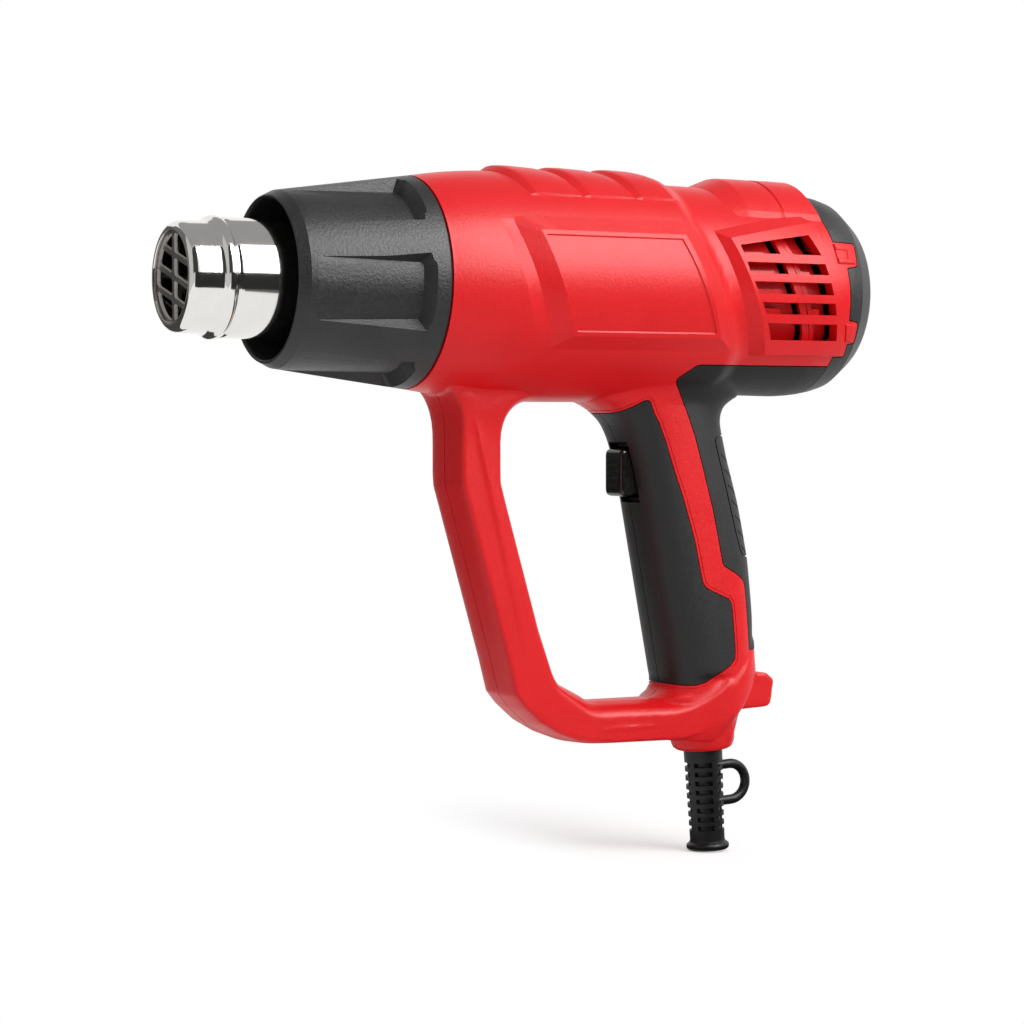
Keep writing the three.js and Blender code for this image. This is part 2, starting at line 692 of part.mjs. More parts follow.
// Outline of the loop: down the front, round the corner and along the bottom into the base
const loopOutline = (() => {
  const front = LOOP_FRONT_X;
  const rear = front + LOOP_DEPTH;
  const shiftRear = LOOP_DEPTH / Math.cos(radians(LOOP_LEAN));
  const barTop = BASE_BOTTOM_Z + BAR_DEPTH;
  const innerX = (z) => loopOuterX(z) + shiftRear;
  const inside = gripAxisX(barTop);
  const gripFace = inside - gripReach(barTop, 0).front;
  const keel = -BODY_RADIUS - KEEL;
  const keelBend = new THREE.QuadraticBezierCurve(
    new THREE.Vector2(rear, keel - KEEL_FILLET),
    new THREE.Vector2(rear, keel),
    new THREE.Vector2(rear + KEEL_FILLET, keel),
  ).getPoints(4);
  const outerZ = BASE_BOTTOM_Z + LOOP_CORNER;
  const outerBend = new THREE.QuadraticBezierCurve(
    new THREE.Vector2(loopOuterX(outerZ), outerZ),
    new THREE.Vector2(loopOuterX(BASE_BOTTOM_Z + 4), BASE_BOTTOM_Z + 4),
    new THREE.Vector2(loopOuterX(BASE_BOTTOM_Z) + LOOP_CORNER * 1.3, BASE_BOTTOM_Z),
  ).getPoints(6);
  const innerBend = new THREE.QuadraticBezierCurve(
    new THREE.Vector2(innerX(barTop) + LOOP_CORNER * 0.6, barTop),
    new THREE.Vector2(innerX(barTop + 2), barTop + 2),
    new THREE.Vector2(innerX(barTop + LOOP_CORNER * 0.5), barTop + LOOP_CORNER * 0.5),
  ).getPoints(5);
  return [
    [front, -BODY_RADIUS * 0.5],
    [front, LOOP_BEND_Z],
    ...outerBend.map((p) => p.toArray()),
    [inside, BASE_BOTTOM_Z],
    [inside, barTop + BAR_FILLET],
    [gripFace, barTop + BAR_FILLET],
    [gripFace - BAR_FILLET, barTop],
    ...innerBend.map((p) => p.toArray()),
    [rear, LOOP_BEND_Z],
    ...keelBend.map((p) => p.toArray()),
    [gripAxisX(keel), keel],
    [gripAxisX(keel), -BODY_RADIUS * 0.5],
  ];
})();

const loop = solid(slab(loopOutline, -LOOP_WIDTH / 2, LOOP_WIDTH / 2, LOOP_ROUND));
const loopHollow = solid(slab(
  grown(loopOutline, -LOOP_WALL),
  -LOOP_WIDTH / 2 + LOOP_WALL,
  LOOP_WIDTH / 2 - LOOP_WALL,
  LOOP_ROUND / 2,
));

// Strain relief sleeve and its collar, drawn round an upright axis and then leaned back

const COLLAR_MOUTH_Z = BASE_BOTTOM_Z - COLLAR_DROP;

function onSleeve(geometry) {
  const placed = geometry.rotateY(radians(-SLEEVE_TILT));
  return solid(placed.translate(gripAxisX(COLLAR_MOUTH_Z) + COLLAR_OFFSET, 0, COLLAR_MOUTH_Z));
}

const collar = onSleeve(upright([
  [0, COLLAR_DROP + 4],
  [COLLAR_RADIUS, COLLAR_DROP + 4],
  [COLLAR_RADIUS, COLLAR_DROP * 0.6],
  [COLLAR_RADIUS - 1.6, COLLAR_DROP * 0.2],
  [COLLAR_MOUTH_RADIUS, 0],
  [0, 0],
], MIDDLE_FACETS));

function sleeveSeat() {
  const bore = SLEEVE_TOP_RADIUS + GAP;
  const pocket = SLEEVE_FLANGE_RADIUS + 1.2 + GAP;
  const floor = SLEEVE_ROOT - SLEEVE_ROOT_FLANGE - GAP;
  return onSleeve(upright([
    [0, -1],
    [bore, -1],
    [bore, floor],
    [pocket, floor],
    [pocket, SLEEVE_ROOT + GAP],
    [bore, SLEEVE_ROOT + GAP],
    [bore, SLEEVE_ROOT + 6],
    [0, SLEEVE_ROOT + 6],
  ], MIDDLE_FACETS));
}

function cordSleeve() {
  const root = SLEEVE_FLANGE_RADIUS + 1.2;
  const body = onSleeve(upright([
    [SLEEVE_BORE, SLEEVE_ROOT],
    [root, SLEEVE_ROOT],
    [root, SLEEVE_ROOT - SLEEVE_ROOT_FLANGE],
    [SLEEVE_TOP_RADIUS, SLEEVE_ROOT - SLEEVE_ROOT_FLANGE],
    [SLEEVE_TOP_RADIUS, 0],
    [SLEEVE_END_RADIUS, -SLEEVE_DROP],
    [SLEEVE_FLANGE_RADIUS, -SLEEVE_DROP],
    [SLEEVE_FLANGE_RADIUS, -SLEEVE_DROP - SLEEVE_FLANGE],
    [SLEEVE_BORE, -SLEEVE_DROP - SLEEVE_FLANGE],
    [SLEEVE_BORE, SLEEVE_ROOT],
  ], MIDDLE_FACETS));
  const pitch = (SLEEVE_DROP - 4) / SLEEVE_ROWS;
  const reach = SLEEVE_TOP_RADIUS + 1;
  const slots = [];
  for (let k = 0; k < SLEEVE_ROWS; k += 1) {
    const z = -3 - k * pitch;
    const wide = block(-reach, reach, -reach, reach, z - SLEEVE_SLOT, z);
    const spine = SLEEVE_BORE + 1;
    const core = upright([[0, z + 1], [spine, z + 1], [spine, z - 3], [0, z - 3]]);
    const [webX, webY] = k % 2 === 0 ? [reach, SLEEVE_WEB] : [SLEEVE_WEB, reach];
    const web = block(-webX, webX, -webY, webY, z - 3, z + 1);
    const back = block(0, reach, -SLEEVE_BACK, SLEEVE_BACK, z - 3, z + 1);
    slots.push(cut(onSleeve(wide), onSleeve(core), onSleeve(web), onSleeve(back)));
  }
  return joined(cut(body, slots), cut(hangingEye(), onSleeve(upright([
    [0, 5], [SLEEVE_BORE + 1, 5], [SLEEVE_BORE + 1, -SLEEVE_DROP], [0, -SLEEVE_DROP],
  ], MIDDLE_FACETS))));
}

// Eye behind the sleeve: straight out, round a half circle and straight back
function hangingEye() {
  const out = SLEEVE_TOP_RADIUS - 1.5;
  const centre = SLEEVE_TOP_RADIUS + EYE_REACH - 1.6;
  const rings = [];
  const addRing = (x, z, angle) => rings.push(Array.from({ length: 8 }, (_, i) => {
    const turn = (i / 8) * 2 * Math.PI;
    const r = EYE_CORD * Math.cos(turn);
    return new THREE.Vector3(x + r * Math.sin(angle), EYE_CORD * Math.sin(turn), z + r * Math.cos(angle));
  }));
  addRing(out, EYE_RADIUS, 0);
  for (let k = 0; k <= 10; k += 1) {
    const angle = (k / 10) * Math.PI;
    addRing(centre + EYE_RADIUS * Math.sin(angle), EYE_RADIUS * Math.cos(angle), angle);
  }
  addRing(out, -EYE_RADIUS, Math.PI);
  return onSleeve(loft(rings).translate(0, 0, -EYE_DROP));
}

// Lug behind the base
const lug = (() => {
  const top = GRIP_BOTTOM_Z - 1;
  const root = gripAxisX(top) + 4;
  const tip = gripAxisX(top) + gripReach(top, 0).rear + LUG_REACH;
  return solid(slab([
    [root, top],
    [tip - 3, top - 0.6],
    [tip, top - 3],
    [tip - 1.2, top - LUG_HEIGHT + 1],
    [tip - 2.4, top - LUG_HEIGHT],
    [root, top - LUG_HEIGHT - 1],
  ], -LUG_WIDTH / 2, LUG_WIDTH / 2, 1.2));
})();

// Screws that close the housing, as [name, x, z]
const CORNER_SCREW_Z = BASE_BOTTOM_Z + BAR_DEPTH * 0.9;
const GRIP_SCREW_Z = GRIP_TOP_Z - GRIP_SCREW_DROP;
const SCREWS = [
  ["case_screw_barrel", SHROUD_FRONT_X - BARREL_SCREW_AHEAD, BODY_RADIUS * 0.72],
  ["case_screw_rear", -REAR_SHOULDER - 3, WAIST_RADIUS * 0.72],
  ["case_screw_loop_top", LOOP_FRONT_X + LOOP_DEPTH / 2, -BODY_RADIUS - LOOP_SCREW_DROP],
  ["case_screw_loop_corner", loopOuterX(CORNER_SCREW_Z) + LOOP_SCREW_INSET, CORNER_SCREW_Z],
  ["case_screw_bar", gripAxisX(BASE_BOTTOM_Z) - BAR_SCREW_AHEAD, BASE_BOTTOM_Z + BAR_DEPTH / 2],
  ["case_screw_grip", gripAxisX(GRIP_SCREW_Z) + GRIP_SCREW_OFFSET, GRIP_SCREW_Z],
];

function screw(x, z, seat = SCREW_SEAT_Y, length = SCREW_LENGTH) {
  const head = crossBar(x, z, seat, seat + SCREW_HEAD, SCREW_HEAD_RADIUS);
  const shank = crossBar(x, z, seat - length, seat + SCREW_HEAD / 2, SCREW_RADIUS, PIN_FACETS);
  const drive = block(x - 0.45, x + 0.45, seat + SCREW_HEAD / 2, seat + SCREW_HEAD + 1, z - FAR, z + FAR);
  return cut(joined(solid(head), solid(shank)), solid(drive));
}

// Housing

const outside = joined(barrel(), grip(0, BASE_BOTTOM_Z), loop, collar, lug);
const raised = [topRibs(), rearRidge(), sidePanel(-1), sidePanel(1), ventFrame(-1), ventFrame(1)];
const hollow = (() => {
  const front = HOUSING_FRONT_X + WALL;
  const room = solid(turned([
    [front, 0],
    [front, SEAM_RADIUS - WALL],
    [HOUSING_FRONT_X + FRONT_TAPER, BODY_RADIUS - WALL],
    [-WAIST_FROM_REAR - WAIST_TAPER, BODY_RADIUS - WALL],
    [-WAIST_FROM_REAR, WAIST_RADIUS - WALL],
    [-REAR_SHOULDER, WAIST_RADIUS - WALL],
    [-HOUSING_INSET, WAIST_RADIUS - WALL - 3],
    [-HOUSING_INSET, 0],
  ]));
  const overPad = solid(disc(-WAIST_FROM_REAR - WAIST_TAPER, -HOUSING_INSET, WAIST_RADIUS - CAVITY_INSET));
  const padZone = solid(through(grown(backPadOutline, WALL)));
  const gripFloor = COLLAR_MOUTH_Z + SLEEVE_ROOT + 4;
  return joined(cut(room, padZone), overPad, grip(CAVITY_INSET, gripFloor));
})();

const spigot = solid(ring(SPIGOT_FRONT_X, HOUSING_FRONT_X + 1, SPIGOT_RADIUS, NOZZLE_RADIUS + GAP));
const spigotHollow = solid(disc(BULKHEAD_REAR_X, HOUSING_FRONT_X + WALL + 1, SPIGOT_RADIUS - WALL));
const seatRing = (() => {
  const x = FLANGE_REAR_X + GAP;
  const outer = SPIGOT_RADIUS - WALL / 2;
  return solid(ring(x, x + WALL, outer, FLANGE_RADIUS - 3));
})();
const stiffeners = STIFFENER_PLACES.map((place) => {
  const x = HOUSING_FRONT_X + place * (SHROUD_FRONT_X - HOUSING_FRONT_X);
  return solid(ring(x, x + STIFFENER, BODY_RADIUS - WALL / 2 - 1, SEAM_RADIUS - WALL - STIFFENER_REACH));
});

const bosses = SCREWS.map(([, x, z]) => common(outside, solid(crossBar(x, z, -FAR, FAR, BOSS_RADIUS))));
const screwHoles = SCREWS.flatMap(([, x, z]) => [
  solid(crossBar(x, z, SCREW_SEAT_Y - GAP, FAR, SCREW_HEAD_RADIUS + GAP)),
  solid(crossBar(x, z, SCREW_SEAT_Y - SCREW_LENGTH - GAP, SCREW_SEAT_Y, SCREW_RADIUS + GAP, PIN_FACETS)),
]);

// Posts inside the left half that carry the terminals and the clamp, and one in each half under the board
const TERMINAL_X = gripAxisX(TERMINAL_TOP_Z - TERMINAL_HEIGHT / 2);
const CLAMP_X = gripAxisX(CLAMP_Z) - 1;
const CLAMP_Y = -1;
const clampScrewX = [-1, 1].map((way) => CLAMP_X + way * (CLAMP_LENGTH / 2 - 3));
const BOARD_REAR_X = -BOARD_FROM_REAR;
const BOARD_FRONT_X = BOARD_REAR_X - BOARD_LENGTH;
const posts = (() => {
  const wallY = -GRIP_WIDTH / 2 + PAD + GAP + GRIP_WALL / 2;
  const terminalZ = TERMINAL_TOP_Z - TERMINAL_HEIGHT / 2;
  const boardX = (BOARD_FRONT_X + BOARD_REAR_X) / 2;
  const floor = -WAIST_RADIUS + PAD + GAP + 1;
  const underBoard = (y0, y1) => block(boardX - 2, boardX + 2, y0, y1, floor, BOARD_Z - GAP);
  return [
    solid(crossBar(TERMINAL_X, terminalZ, wallY, -TERMINAL_HALF_WIDTH - GAP, POST_RADIUS)),
    ...clampScrewX.map((x) => solid(crossBar(x, CLAMP_Z, wallY, CLAMP_Y - GAP, POST_RADIUS))),
    common(outside, solid(underBoard(-10, -6))),
    common(outside, solid(underBoard(6, 10))),
  ];
})();
const clampHoles = clampScrewX.map((x) => (
  solid(crossBar(x, CLAMP_Z, -8, CLAMP_Y, SCREW_RADIUS + GAP, PIN_FACETS))
));

const padRoom = (() => {
  const core = joined(barrel(PAD + GAP), grip(PAD + GAP, PAD_FLOOR_Z - GAP));
  const zones = joined(
    solid(through(grown(frontPadOutline, GAP))),
    solid(through(grown(backPadOutline, GAP))),
  );
  return cut(common(zones, joined(barrel(-1), grip(-1, BASE_BOTTOM_Z))), core);
})();

const housing = (() => {
  const shell = cut(joined(outside, raised, spigot), hollow, loopHollow, spigotHollow);
  const filled = joined(shell, seatRing, stiffeners, bosses, posts);
  const tools = [
    solid(disc(SPIGOT_FRONT_X - 1, BULKHEAD_REAR_X + 1, NOZZLE_RADIUS + GAP)),
    padRoom,
    solid(through(grown(capOutline, GAP))),
    panelRecess(-1),
    panelRecess(1),
    ventSlots(),
    switchSlot,
    sleeveSeat(),
    screwHoles,
    clampHoles,
  ];
  return cut(filled, ...tools);
})();

const leftSide = solid(block(-FAR, FAR, -FAR, -GAP / 2, -FAR, FAR));
const rightSide = solid(block(-FAR, FAR, GAP / 2, FAR, -FAR, FAR));

// Heat guard

function heatGuard() {
  const rear = HOUSING_FRONT_X - GAP;
  const spigotRoom = SPIGOT_RADIUS + GAP;
  const inner = GUARD_MOUTH_RADIUS;
  const throat = SEAM_RADIUS - FLUTE_DEPTH - GUARD_WALL - 1.6;
  const cone = solid(turned([
    [GUARD_FRONT_X, inner + 0.6],
    [GUARD_FRONT_X, GUARD_FRONT_RADIUS - GUARD_LIP / 2],
    [GUARD_FRONT_X + GUARD_LIP / 3, GUARD_FRONT_RADIUS - 0.3],
    [GUARD_FRONT_X + GUARD_LIP, GUARD_FRONT_RADIUS + 0.3],
    [rear, SEAM_RADIUS],
    [rear, spigotRoom],
    [SPIGOT_FRONT_X - GAP, spigotRoom],
    [SPIGOT_FRONT_X - GAP, throat],
    [GUARD_FRONT_X + GUARD_LIP, inner],
    [GUARD_FRONT_X, inner + 0.6],
  ]));
  const from = GUARD_FRONT_X + FLUTE_FROM_FRONT;
  const to = HOUSING_FRONT_X - FLUTE_FROM_REAR;
  const floor = SEAM_RADIUS - FLUTE_DEPTH - 1;
  const low = [[from, -FLUTE_HALF_WIDTH + 1], [to - FLUTE_BEVEL, -FLUTE_HALF_WIDTH + 1]];
  const high = [[from, -FLUTE_HALF_WIDTH - 1], [to + FLUTE_BEVEL, -FLUTE_HALF_WIDTH - 1]];
  const closed = (edge) => [...edge, ...edge.map(([x, z]) => [x, -z]).reverse()];
  const flutes = Array.from({ length: FLUTES }, (_, k) => (
    solid(frustum(closed(low), -floor, closed(high), -SEAM_RADIUS - 3).rotateX((k / FLUTES) * 2 * Math.PI))
  ));
  return cut(cone, flutes);
}

// Nozzle and heater

const NOZZLE_STEP_X = NOZZLE_TIP_X + NOZZLE_COLLAR_LENGTH;
const NOZZLE_MOUTH_RADIUS = COLLAR_34_RADIUS - NOZZLE_LIP;

function nozzleTube() {
  const flangeFront = BULKHEAD_REAR_X + GAP;
  const outer = [
    [NOZZLE_TIP_X, NOZZLE_MOUTH_RADIUS],
    [NOZZLE_TIP_X, COLLAR_34_RADIUS - 0.5],
    [NOZZLE_TIP_X + 0.6, COLLAR_34_RADIUS],
    [NOZZLE_STEP_X, COLLAR_34_RADIUS],
    [NOZZLE_STEP_X + 0.6, NOZZLE_RADIUS + BEAD_RISE],
    [NOZZLE_STEP_X + BEAD_WIDTH, NOZZLE_RADIUS + BEAD_RISE],
    [NOZZLE_STEP_X + BEAD_WIDTH + 0.8, NOZZLE_RADIUS],
    [flangeFront, NOZZLE_RADIUS],
    [flangeFront, FLANGE_RADIUS],
    [FLANGE_REAR_X, FLANGE_RADIUS],
  ];
  const inner = [
    [FLANGE_REAR_X, TUBE_INNER],
    [NOZZLE_STEP_X + BEAD_WIDTH, TUBE_INNER],
    [NOZZLE_STEP_X, COLLAR_34_RADIUS - NOZZLE_WALL],
    [NOZZLE_TIP_X + 2.4, COLLAR_34_RADIUS - NOZZLE_WALL],
    [NOZZLE_TIP_X + 2, NOZZLE_MOUTH_RADIUS],
    [NOZZLE_TIP_X, NOZZLE_MOUTH_RADIUS],
  ];
  return solid(turned([...outer, ...inner]));
}

function nozzleGrille() {
  const x = NOZZLE_TIP_X + 0.5;
  const radius = NOZZLE_MOUTH_RADIUS - GAP;
  const open = solid(disc(x - 1, x + GRILLE + 1, radius - GRILLE_RIM));
  const half = GRILLE_BAR / 2;
  const upBar = solid(block(x - 2, x + GRILLE + 2, -half, half, -FAR, FAR));
  const step = (radius - GRILLE_RIM) / 2;
  const crossBars = [-1, 0, 1].map((k) => {
    const bar = block(x - 2, x + GRILLE + 2, -FAR, FAR, k * step - half, k * step + half);
    return solid(bar.rotateX(radians(GRILLE_TILT)));
  });
  return cut(solid(disc(x, x + GRILLE, radius)), cut(open, upBar, crossBars));
}

const MICA_FRONT_X = NOZZLE_STEP_X + BEAD_WIDTH + GAP;
const MICA_REAR_X = FLANGE_REAR_X;
const MICA_RADIUS = TUBE_INNER - GAP;
const HEATER_BASE_REAR_X = MICA_REAR_X - 1;
const HEATER_BASE_FRONT_X = HEATER_BASE_REAR_X - HEATER_BASE;
const HEATER_BASE_RADIUS = MICA_RADIUS - MICA_WALL - GAP;
const FORMER_FRONT_X = MICA_FRONT_X + 1;
const FORMER_REAR_X = HEATER_BASE_FRONT_X - GAP;

function elementFormer() {
  const half = FORMER_PLATE / 2;
  const w = FORMER_HALF_WIDTH;
  return joined(
    solid(block(FORMER_FRONT_X, FORMER_REAR_X, -w, w, -half, half)),
    solid(block(FORMER_FRONT_X, FORMER_REAR_X, -half, half, -w, w)),
  );
}

function heaterBase() {
  const plate = solid(disc(HEATER_BASE_FRONT_X, HEATER_BASE_REAR_X, HEATER_BASE_RADIUS, MIDDLE_FACETS));
  const holes = Array.from({ length: AIR_HOLES }, (_, k) => {
    const turn = ((k + 0.5) / AIR_HOLES) * 2 * Math.PI;
    const hole = disc(HEATER_BASE_FRONT_X - 1, HEATER_BASE_REAR_X + 1, AIR_HOLE_RADIUS, SMALL_FACETS);
    return solid(hole.translate(0, AIR_HOLE_PITCH * Math.cos(turn), AIR_HOLE_PITCH * Math.sin(turn)));
  });
  return cut(plate, holes);
}

// Heating wire wound round the former, with a straight end into the heater base
function heatingCoil() {
  const radius = FORMER_HALF_WIDTH + GAP + COIL_WIRE;
  const from = FORMER_FRONT_X + 3;
  const to = HEATER_BASE_FRONT_X - 4;
  const steps = COIL_TURNS * COIL_STEPS;
  const rise = (to - from) / steps;
  const centres = Array.from({ length: steps + 1 }, (_, k) => {
    const turn = (k / COIL_STEPS) * 2 * Math.PI;
    return { x: from + k * rise, turn };
  });
  const last = centres[steps].turn;
  const rings = centres.map(({ x, turn }) => Array.from({ length: 4 }, (_, i) => {
    const angle = (i / 4) * 2 * Math.PI;
    const r = radius + COIL_WIRE * Math.cos(angle);
    return new THREE.Vector3(x + COIL_WIRE * Math.sin(angle), r * Math.cos(turn), r * Math.sin(turn));
  }));
  const tail = (x) => Array.from({ length: 4 }, (_, i) => {
    const angle = (i / 4) * 2 * Math.PI;
    const r = radius + COIL_WIRE * Math.cos(angle);
    const across = turnAcross(last, COIL_WIRE * 1.6 - COIL_WIRE * Math.sin(angle));
    return new THREE.Vector3(x, r * Math.cos(last) + across.y, r * Math.sin(last) + across.z);
  });
  rings.push(tail(to + 2 * COIL_WIRE), tail(HEATER_BASE_FRONT_X - GAP));
  const pitch = rise * COIL_STEPS;
  console.log(`heating_coil least gap to itself ${(pitch - 2 * COIL_WIRE).toFixed(2)} mm`);
  return solid(loft(rings));
}

// A step along the winding, square to the radius at a turn
const turnAcross = (turn, step) => ({ y: -Math.sin(turn) * step, z: Math.cos(turn) * step });

// Blower and motor

const BARREL_INNER = BODY_RADIUS - WALL;
const MOTOR_REAR_X = -MOTOR_FROM_REAR;
const MOTOR_FRONT_X = MOTOR_REAR_X - MOTOR_LENGTH;
const IMPELLER_REAR_X = SHROUD_REAR_X - SHROUD_FLANGE;
const IMPELLER_FRONT_X = IMPELLER_REAR_X - IMPELLER_LENGTH;
const IMPELLER_RADIUS = SHROUD_RADIUS - SHROUD_WALL - IMPELLER_CLEAR;
const BORE_RADIUS = SHAFT_RADIUS + GAP;

function fanShroud() {
  const body = solid(turned([
    [SHROUD_FRONT_X, SHROUD_RADIUS - SHROUD_WALL - 3],
    [SHROUD_FRONT_X, SHROUD_RADIUS - 3],
    [SHROUD_FRONT_X + 4, SHROUD_RADIUS],
    [SHROUD_REAR_X - SHROUD_FLANGE, SHROUD_RADIUS],
    [SHROUD_REAR_X - SHROUD_FLANGE, BARREL_INNER - GAP],
    [SHROUD_REAR_X, BARREL_INNER - GAP],
    [SHROUD_REAR_X, SHROUD_RADIUS - SHROUD_WALL],
    [SHROUD_FRONT_X + 4, SHROUD_RADIUS - SHROUD_WALL],
    [SHROUD_FRONT_X, SHROUD_RADIUS - SHROUD_WALL - 3],
  ]));
  const leadNotch = block(SHROUD_FRONT_X, FAR, -6, 6, -FAR, -SHROUD_RADIUS - GAP / 2);
  return cut(body, solid(leadNotch));
}

function fanImpeller() {
  const plateX = IMPELLER_REAR_X - BLADE;
  const plate = solid(ring(plateX, IMPELLER_REAR_X, IMPELLER_RADIUS, BORE_RADIUS, MIDDLE_FACETS));
  const hub = solid(ring(IMPELLER_FRONT_X, IMPELLER_REAR_X, HUB_RADIUS, BORE_RADIUS, MIDDLE_FACETS));
  const blades = Array.from({ length: BLADES }, (_, k) => {
    const tip = IMPELLER_RADIUS - 0.5;
    const blade = block(IMPELLER_FRONT_X, IMPELLER_REAR_X - 1, -BLADE / 2, BLADE / 2, HUB_RADIUS - 1, tip);
    blade.translate(0, 0, -HUB_RADIUS).rotateX(radians(BLADE_SWEEP)).translate(0, 0, HUB_RADIUS);
    return solid(blade.rotateX((k / BLADES) * 2 * Math.PI));
  });
  const trim = solid(ring(IMPELLER_FRONT_X, IMPELLER_REAR_X, IMPELLER_RADIUS, BORE_RADIUS, MIDDLE_FACETS));
  return common(joined(plate, hub, blades), trim);
}

function motorMount() {
  const x0 = MOTOR_FRONT_X + MOTOR_LENGTH * 0.3;
  const x1 = x0 + MOTOR_LENGTH / 8;
  const inner = MOTOR_RADIUS + GAP;
  const outer = inner + MOUNT_RING;
  const reach = WAIST_RADIUS - WALL - GAP - 0.4;
  const arms = [0, 120, 240].map((turn) => (
    solid(block(x0, x1, -MOUNT_ARM / 2, MOUNT_ARM / 2, outer - 1, reach).rotateX(radians(turn)))
  ));
  return joined(solid(ring(x0, x1, outer, inner, MIDDLE_FACETS)), arms);
}

function motorCan() {
  const hole = BUSH_RADIUS + GAP;
  return solid(turned([
    [MOTOR_FRONT_X, hole],
    [MOTOR_FRONT_X, MOTOR_RADIUS],
    [MOTOR_REAR_X, MOTOR_RADIUS],
    [MOTOR_REAR_X, MOTOR_RADIUS - MOTOR_WALL],
    [MOTOR_FRONT_X + MOTOR_WALL, MOTOR_RADIUS - MOTOR_WALL],
    [MOTOR_FRONT_X + MOTOR_WALL, hole],
    [MOTOR_FRONT_X, hole],
  ], MIDDLE_FACETS));
}

const END_BELL_FRONT_X = MOTOR_REAR_X + GAP;
const END_BELL_REAR_X = END_BELL_FRONT_X + END_BELL;
const bush = (x) => solid(ring(x, x + BUSH_LENGTH, BUSH_RADIUS, BORE_RADIUS, MIDDLE_FACETS));
const frontBush = bush(MOTOR_FRONT_X - 1);
const rearBush = bush(END_BELL_FRONT_X);
const endBell = solid(
  ring(END_BELL_FRONT_X, END_BELL_REAR_X, MOTOR_RADIUS - 0.5, BUSH_RADIUS + GAP, MIDDLE_FACETS),
);
const shaft = solid(disc(IMPELLER_FRONT_X - 2, END_BELL_REAR_X, SHAFT_RADIUS, SMALL_FACETS));
const armature = (() => {
  const middle = (MOTOR_FRONT_X + MOTOR_REAR_X) / 2;
  const half = ARMATURE_LENGTH / 2;
  const radius = MOTOR_RADIUS - MOTOR_WALL - 2;
  const core = solid(ring(middle - half, middle + half, radius, BORE_RADIUS, MIDDLE_FACETS));
  const slots = [0, 120, 240].map((turn) => (
    solid(block(middle - FAR, middle + FAR, -1.2, 1.2, HUB_RADIUS, FAR).rotateX(radians(turn)))
  ));
  return cut(core, slots);
})();

// Switch and rocker

const SLOT_MIDDLE_Z = SLOT_TOP_Z - SLOT_HEIGHT / 2;
const GRIP_FACE_X = gripAxisX(SLOT_MIDDLE_Z) - gripReach(SLOT_MIDDLE_Z, 0).front;
const PIVOT_X = GRIP_FACE_X - ROCKER_PROUD + ROCKER_PIVOT_DEPTH;
const SWITCH_FRONT_X = PIVOT_X - PIN_RADIUS - GAP - SWITCH_WALL;
const PIVOT_Z = SLOT_MIDDLE_Z;
const ROCKER_HALF_WIDTH = SLOT_HALF_WIDTH - GAP - SWITCH_WALL - GAP;

function switchBody() {
  const half = SLOT_HALF_WIDTH - GAP;
  const top = SLOT_TOP_Z - GAP;
  const bottom = SLOT_TOP_Z - SLOT_HEIGHT + GAP;
  const pocketHalf = half - SWITCH_WALL;
  const rear = SWITCH_FRONT_X + SWITCH_DEPTH;
  const pocket = block(
    SWITCH_FRONT_X - 1, SWITCH_FRONT_X + POCKET_DEPTH,
    -pocketHalf, pocketHalf,
    bottom + SWITCH_WALL, top - SWITCH_WALL,
  );
  const pinHole = crossBar(PIVOT_X, PIVOT_Z, -half - 1, half + 1, PIN_RADIUS + GAP, SMALL_FACETS);
  return cut(solid(block(SWITCH_FRONT_X, rear, -half, half, bottom, top)), solid(pocket), solid(pinHole));
}

function rockerKey() {
  const half = ROCKER_HEIGHT / 2;
  const face = PIVOT_X - ROCKER_PIVOT_DEPTH;
  const outline = [
    [face + 0.8, PIVOT_Z + half],
    [face, PIVOT_Z + half - 0.8],
  ];
  const pitch = (ROCKER_HEIGHT - 3) / ROCKER_RIBS;
  for (let k = 0; k < ROCKER_RIBS; k += 1) {
    const z = PIVOT_Z + half - 1.5 - k * pitch;
    outline.push([face, z], [face + ROCKER_RIB, z - pitch * 0.25], [face + ROCKER_RIB, z - pitch * 0.45]);
    outline.push([face, z - pitch * 0.7]);
  }
  outline.push(
    [face, PIVOT_Z - half + 0.8],
    [face + 0.8, PIVOT_Z - half],
    [PIVOT_X - 1, PIVOT_Z - half],
    [PIVOT_X + 2.4, PIVOT_Z - 2],
    [PIVOT_X + 2.4, PIVOT_Z + 2],
    [PIVOT_X - 1, PIVOT_Z + half],
  );
  const pinHole = crossBar(PIVOT_X, PIVOT_Z, -FAR, FAR, PIN_RADIUS + GAP, SMALL_FACETS);
  return cut(solid(slab(outline, -ROCKER_HALF_WIDTH, ROCKER_HALF_WIDTH)), solid(pinHole));
}

const PIN_HALF_LENGTH = SLOT_HALF_WIDTH - GAP;
const rockerPin = solid(crossBar(PIVOT_X, PIVOT_Z, -PIN_HALF_LENGTH, PIN_HALF_LENGTH, PIN_RADIUS));

// Supply board, terminals, clamp and leads

const boardHalf = BOARD_WIDTH / 2;
const circuitBoard = solid(block(
  BOARD_FRONT_X, BOARD_REAR_X,
  -boardHalf, boardHalf,
  BOARD_Z, BOARD_Z + BOARD,
));
const onBoard = BOARD_Z + BOARD + GAP;
const rectifier = solid(block(
  BOARD_FRONT_X + 3, BOARD_FRONT_X + 3 + RECTIFIER,
  -RECTIFIER / 2, RECTIFIER / 2,
  onBoard, onBoard + RECTIFIER_HEIGHT,
));
const capacitor = solid(upright([
  [0, onBoard], [CAPACITOR_RADIUS, onBoard], [CAPACITOR_RADIUS, onBoard + 5], [0, onBoard + 5],
]).translate(BOARD_REAR_X - 5, boardHalf - 5, 0));

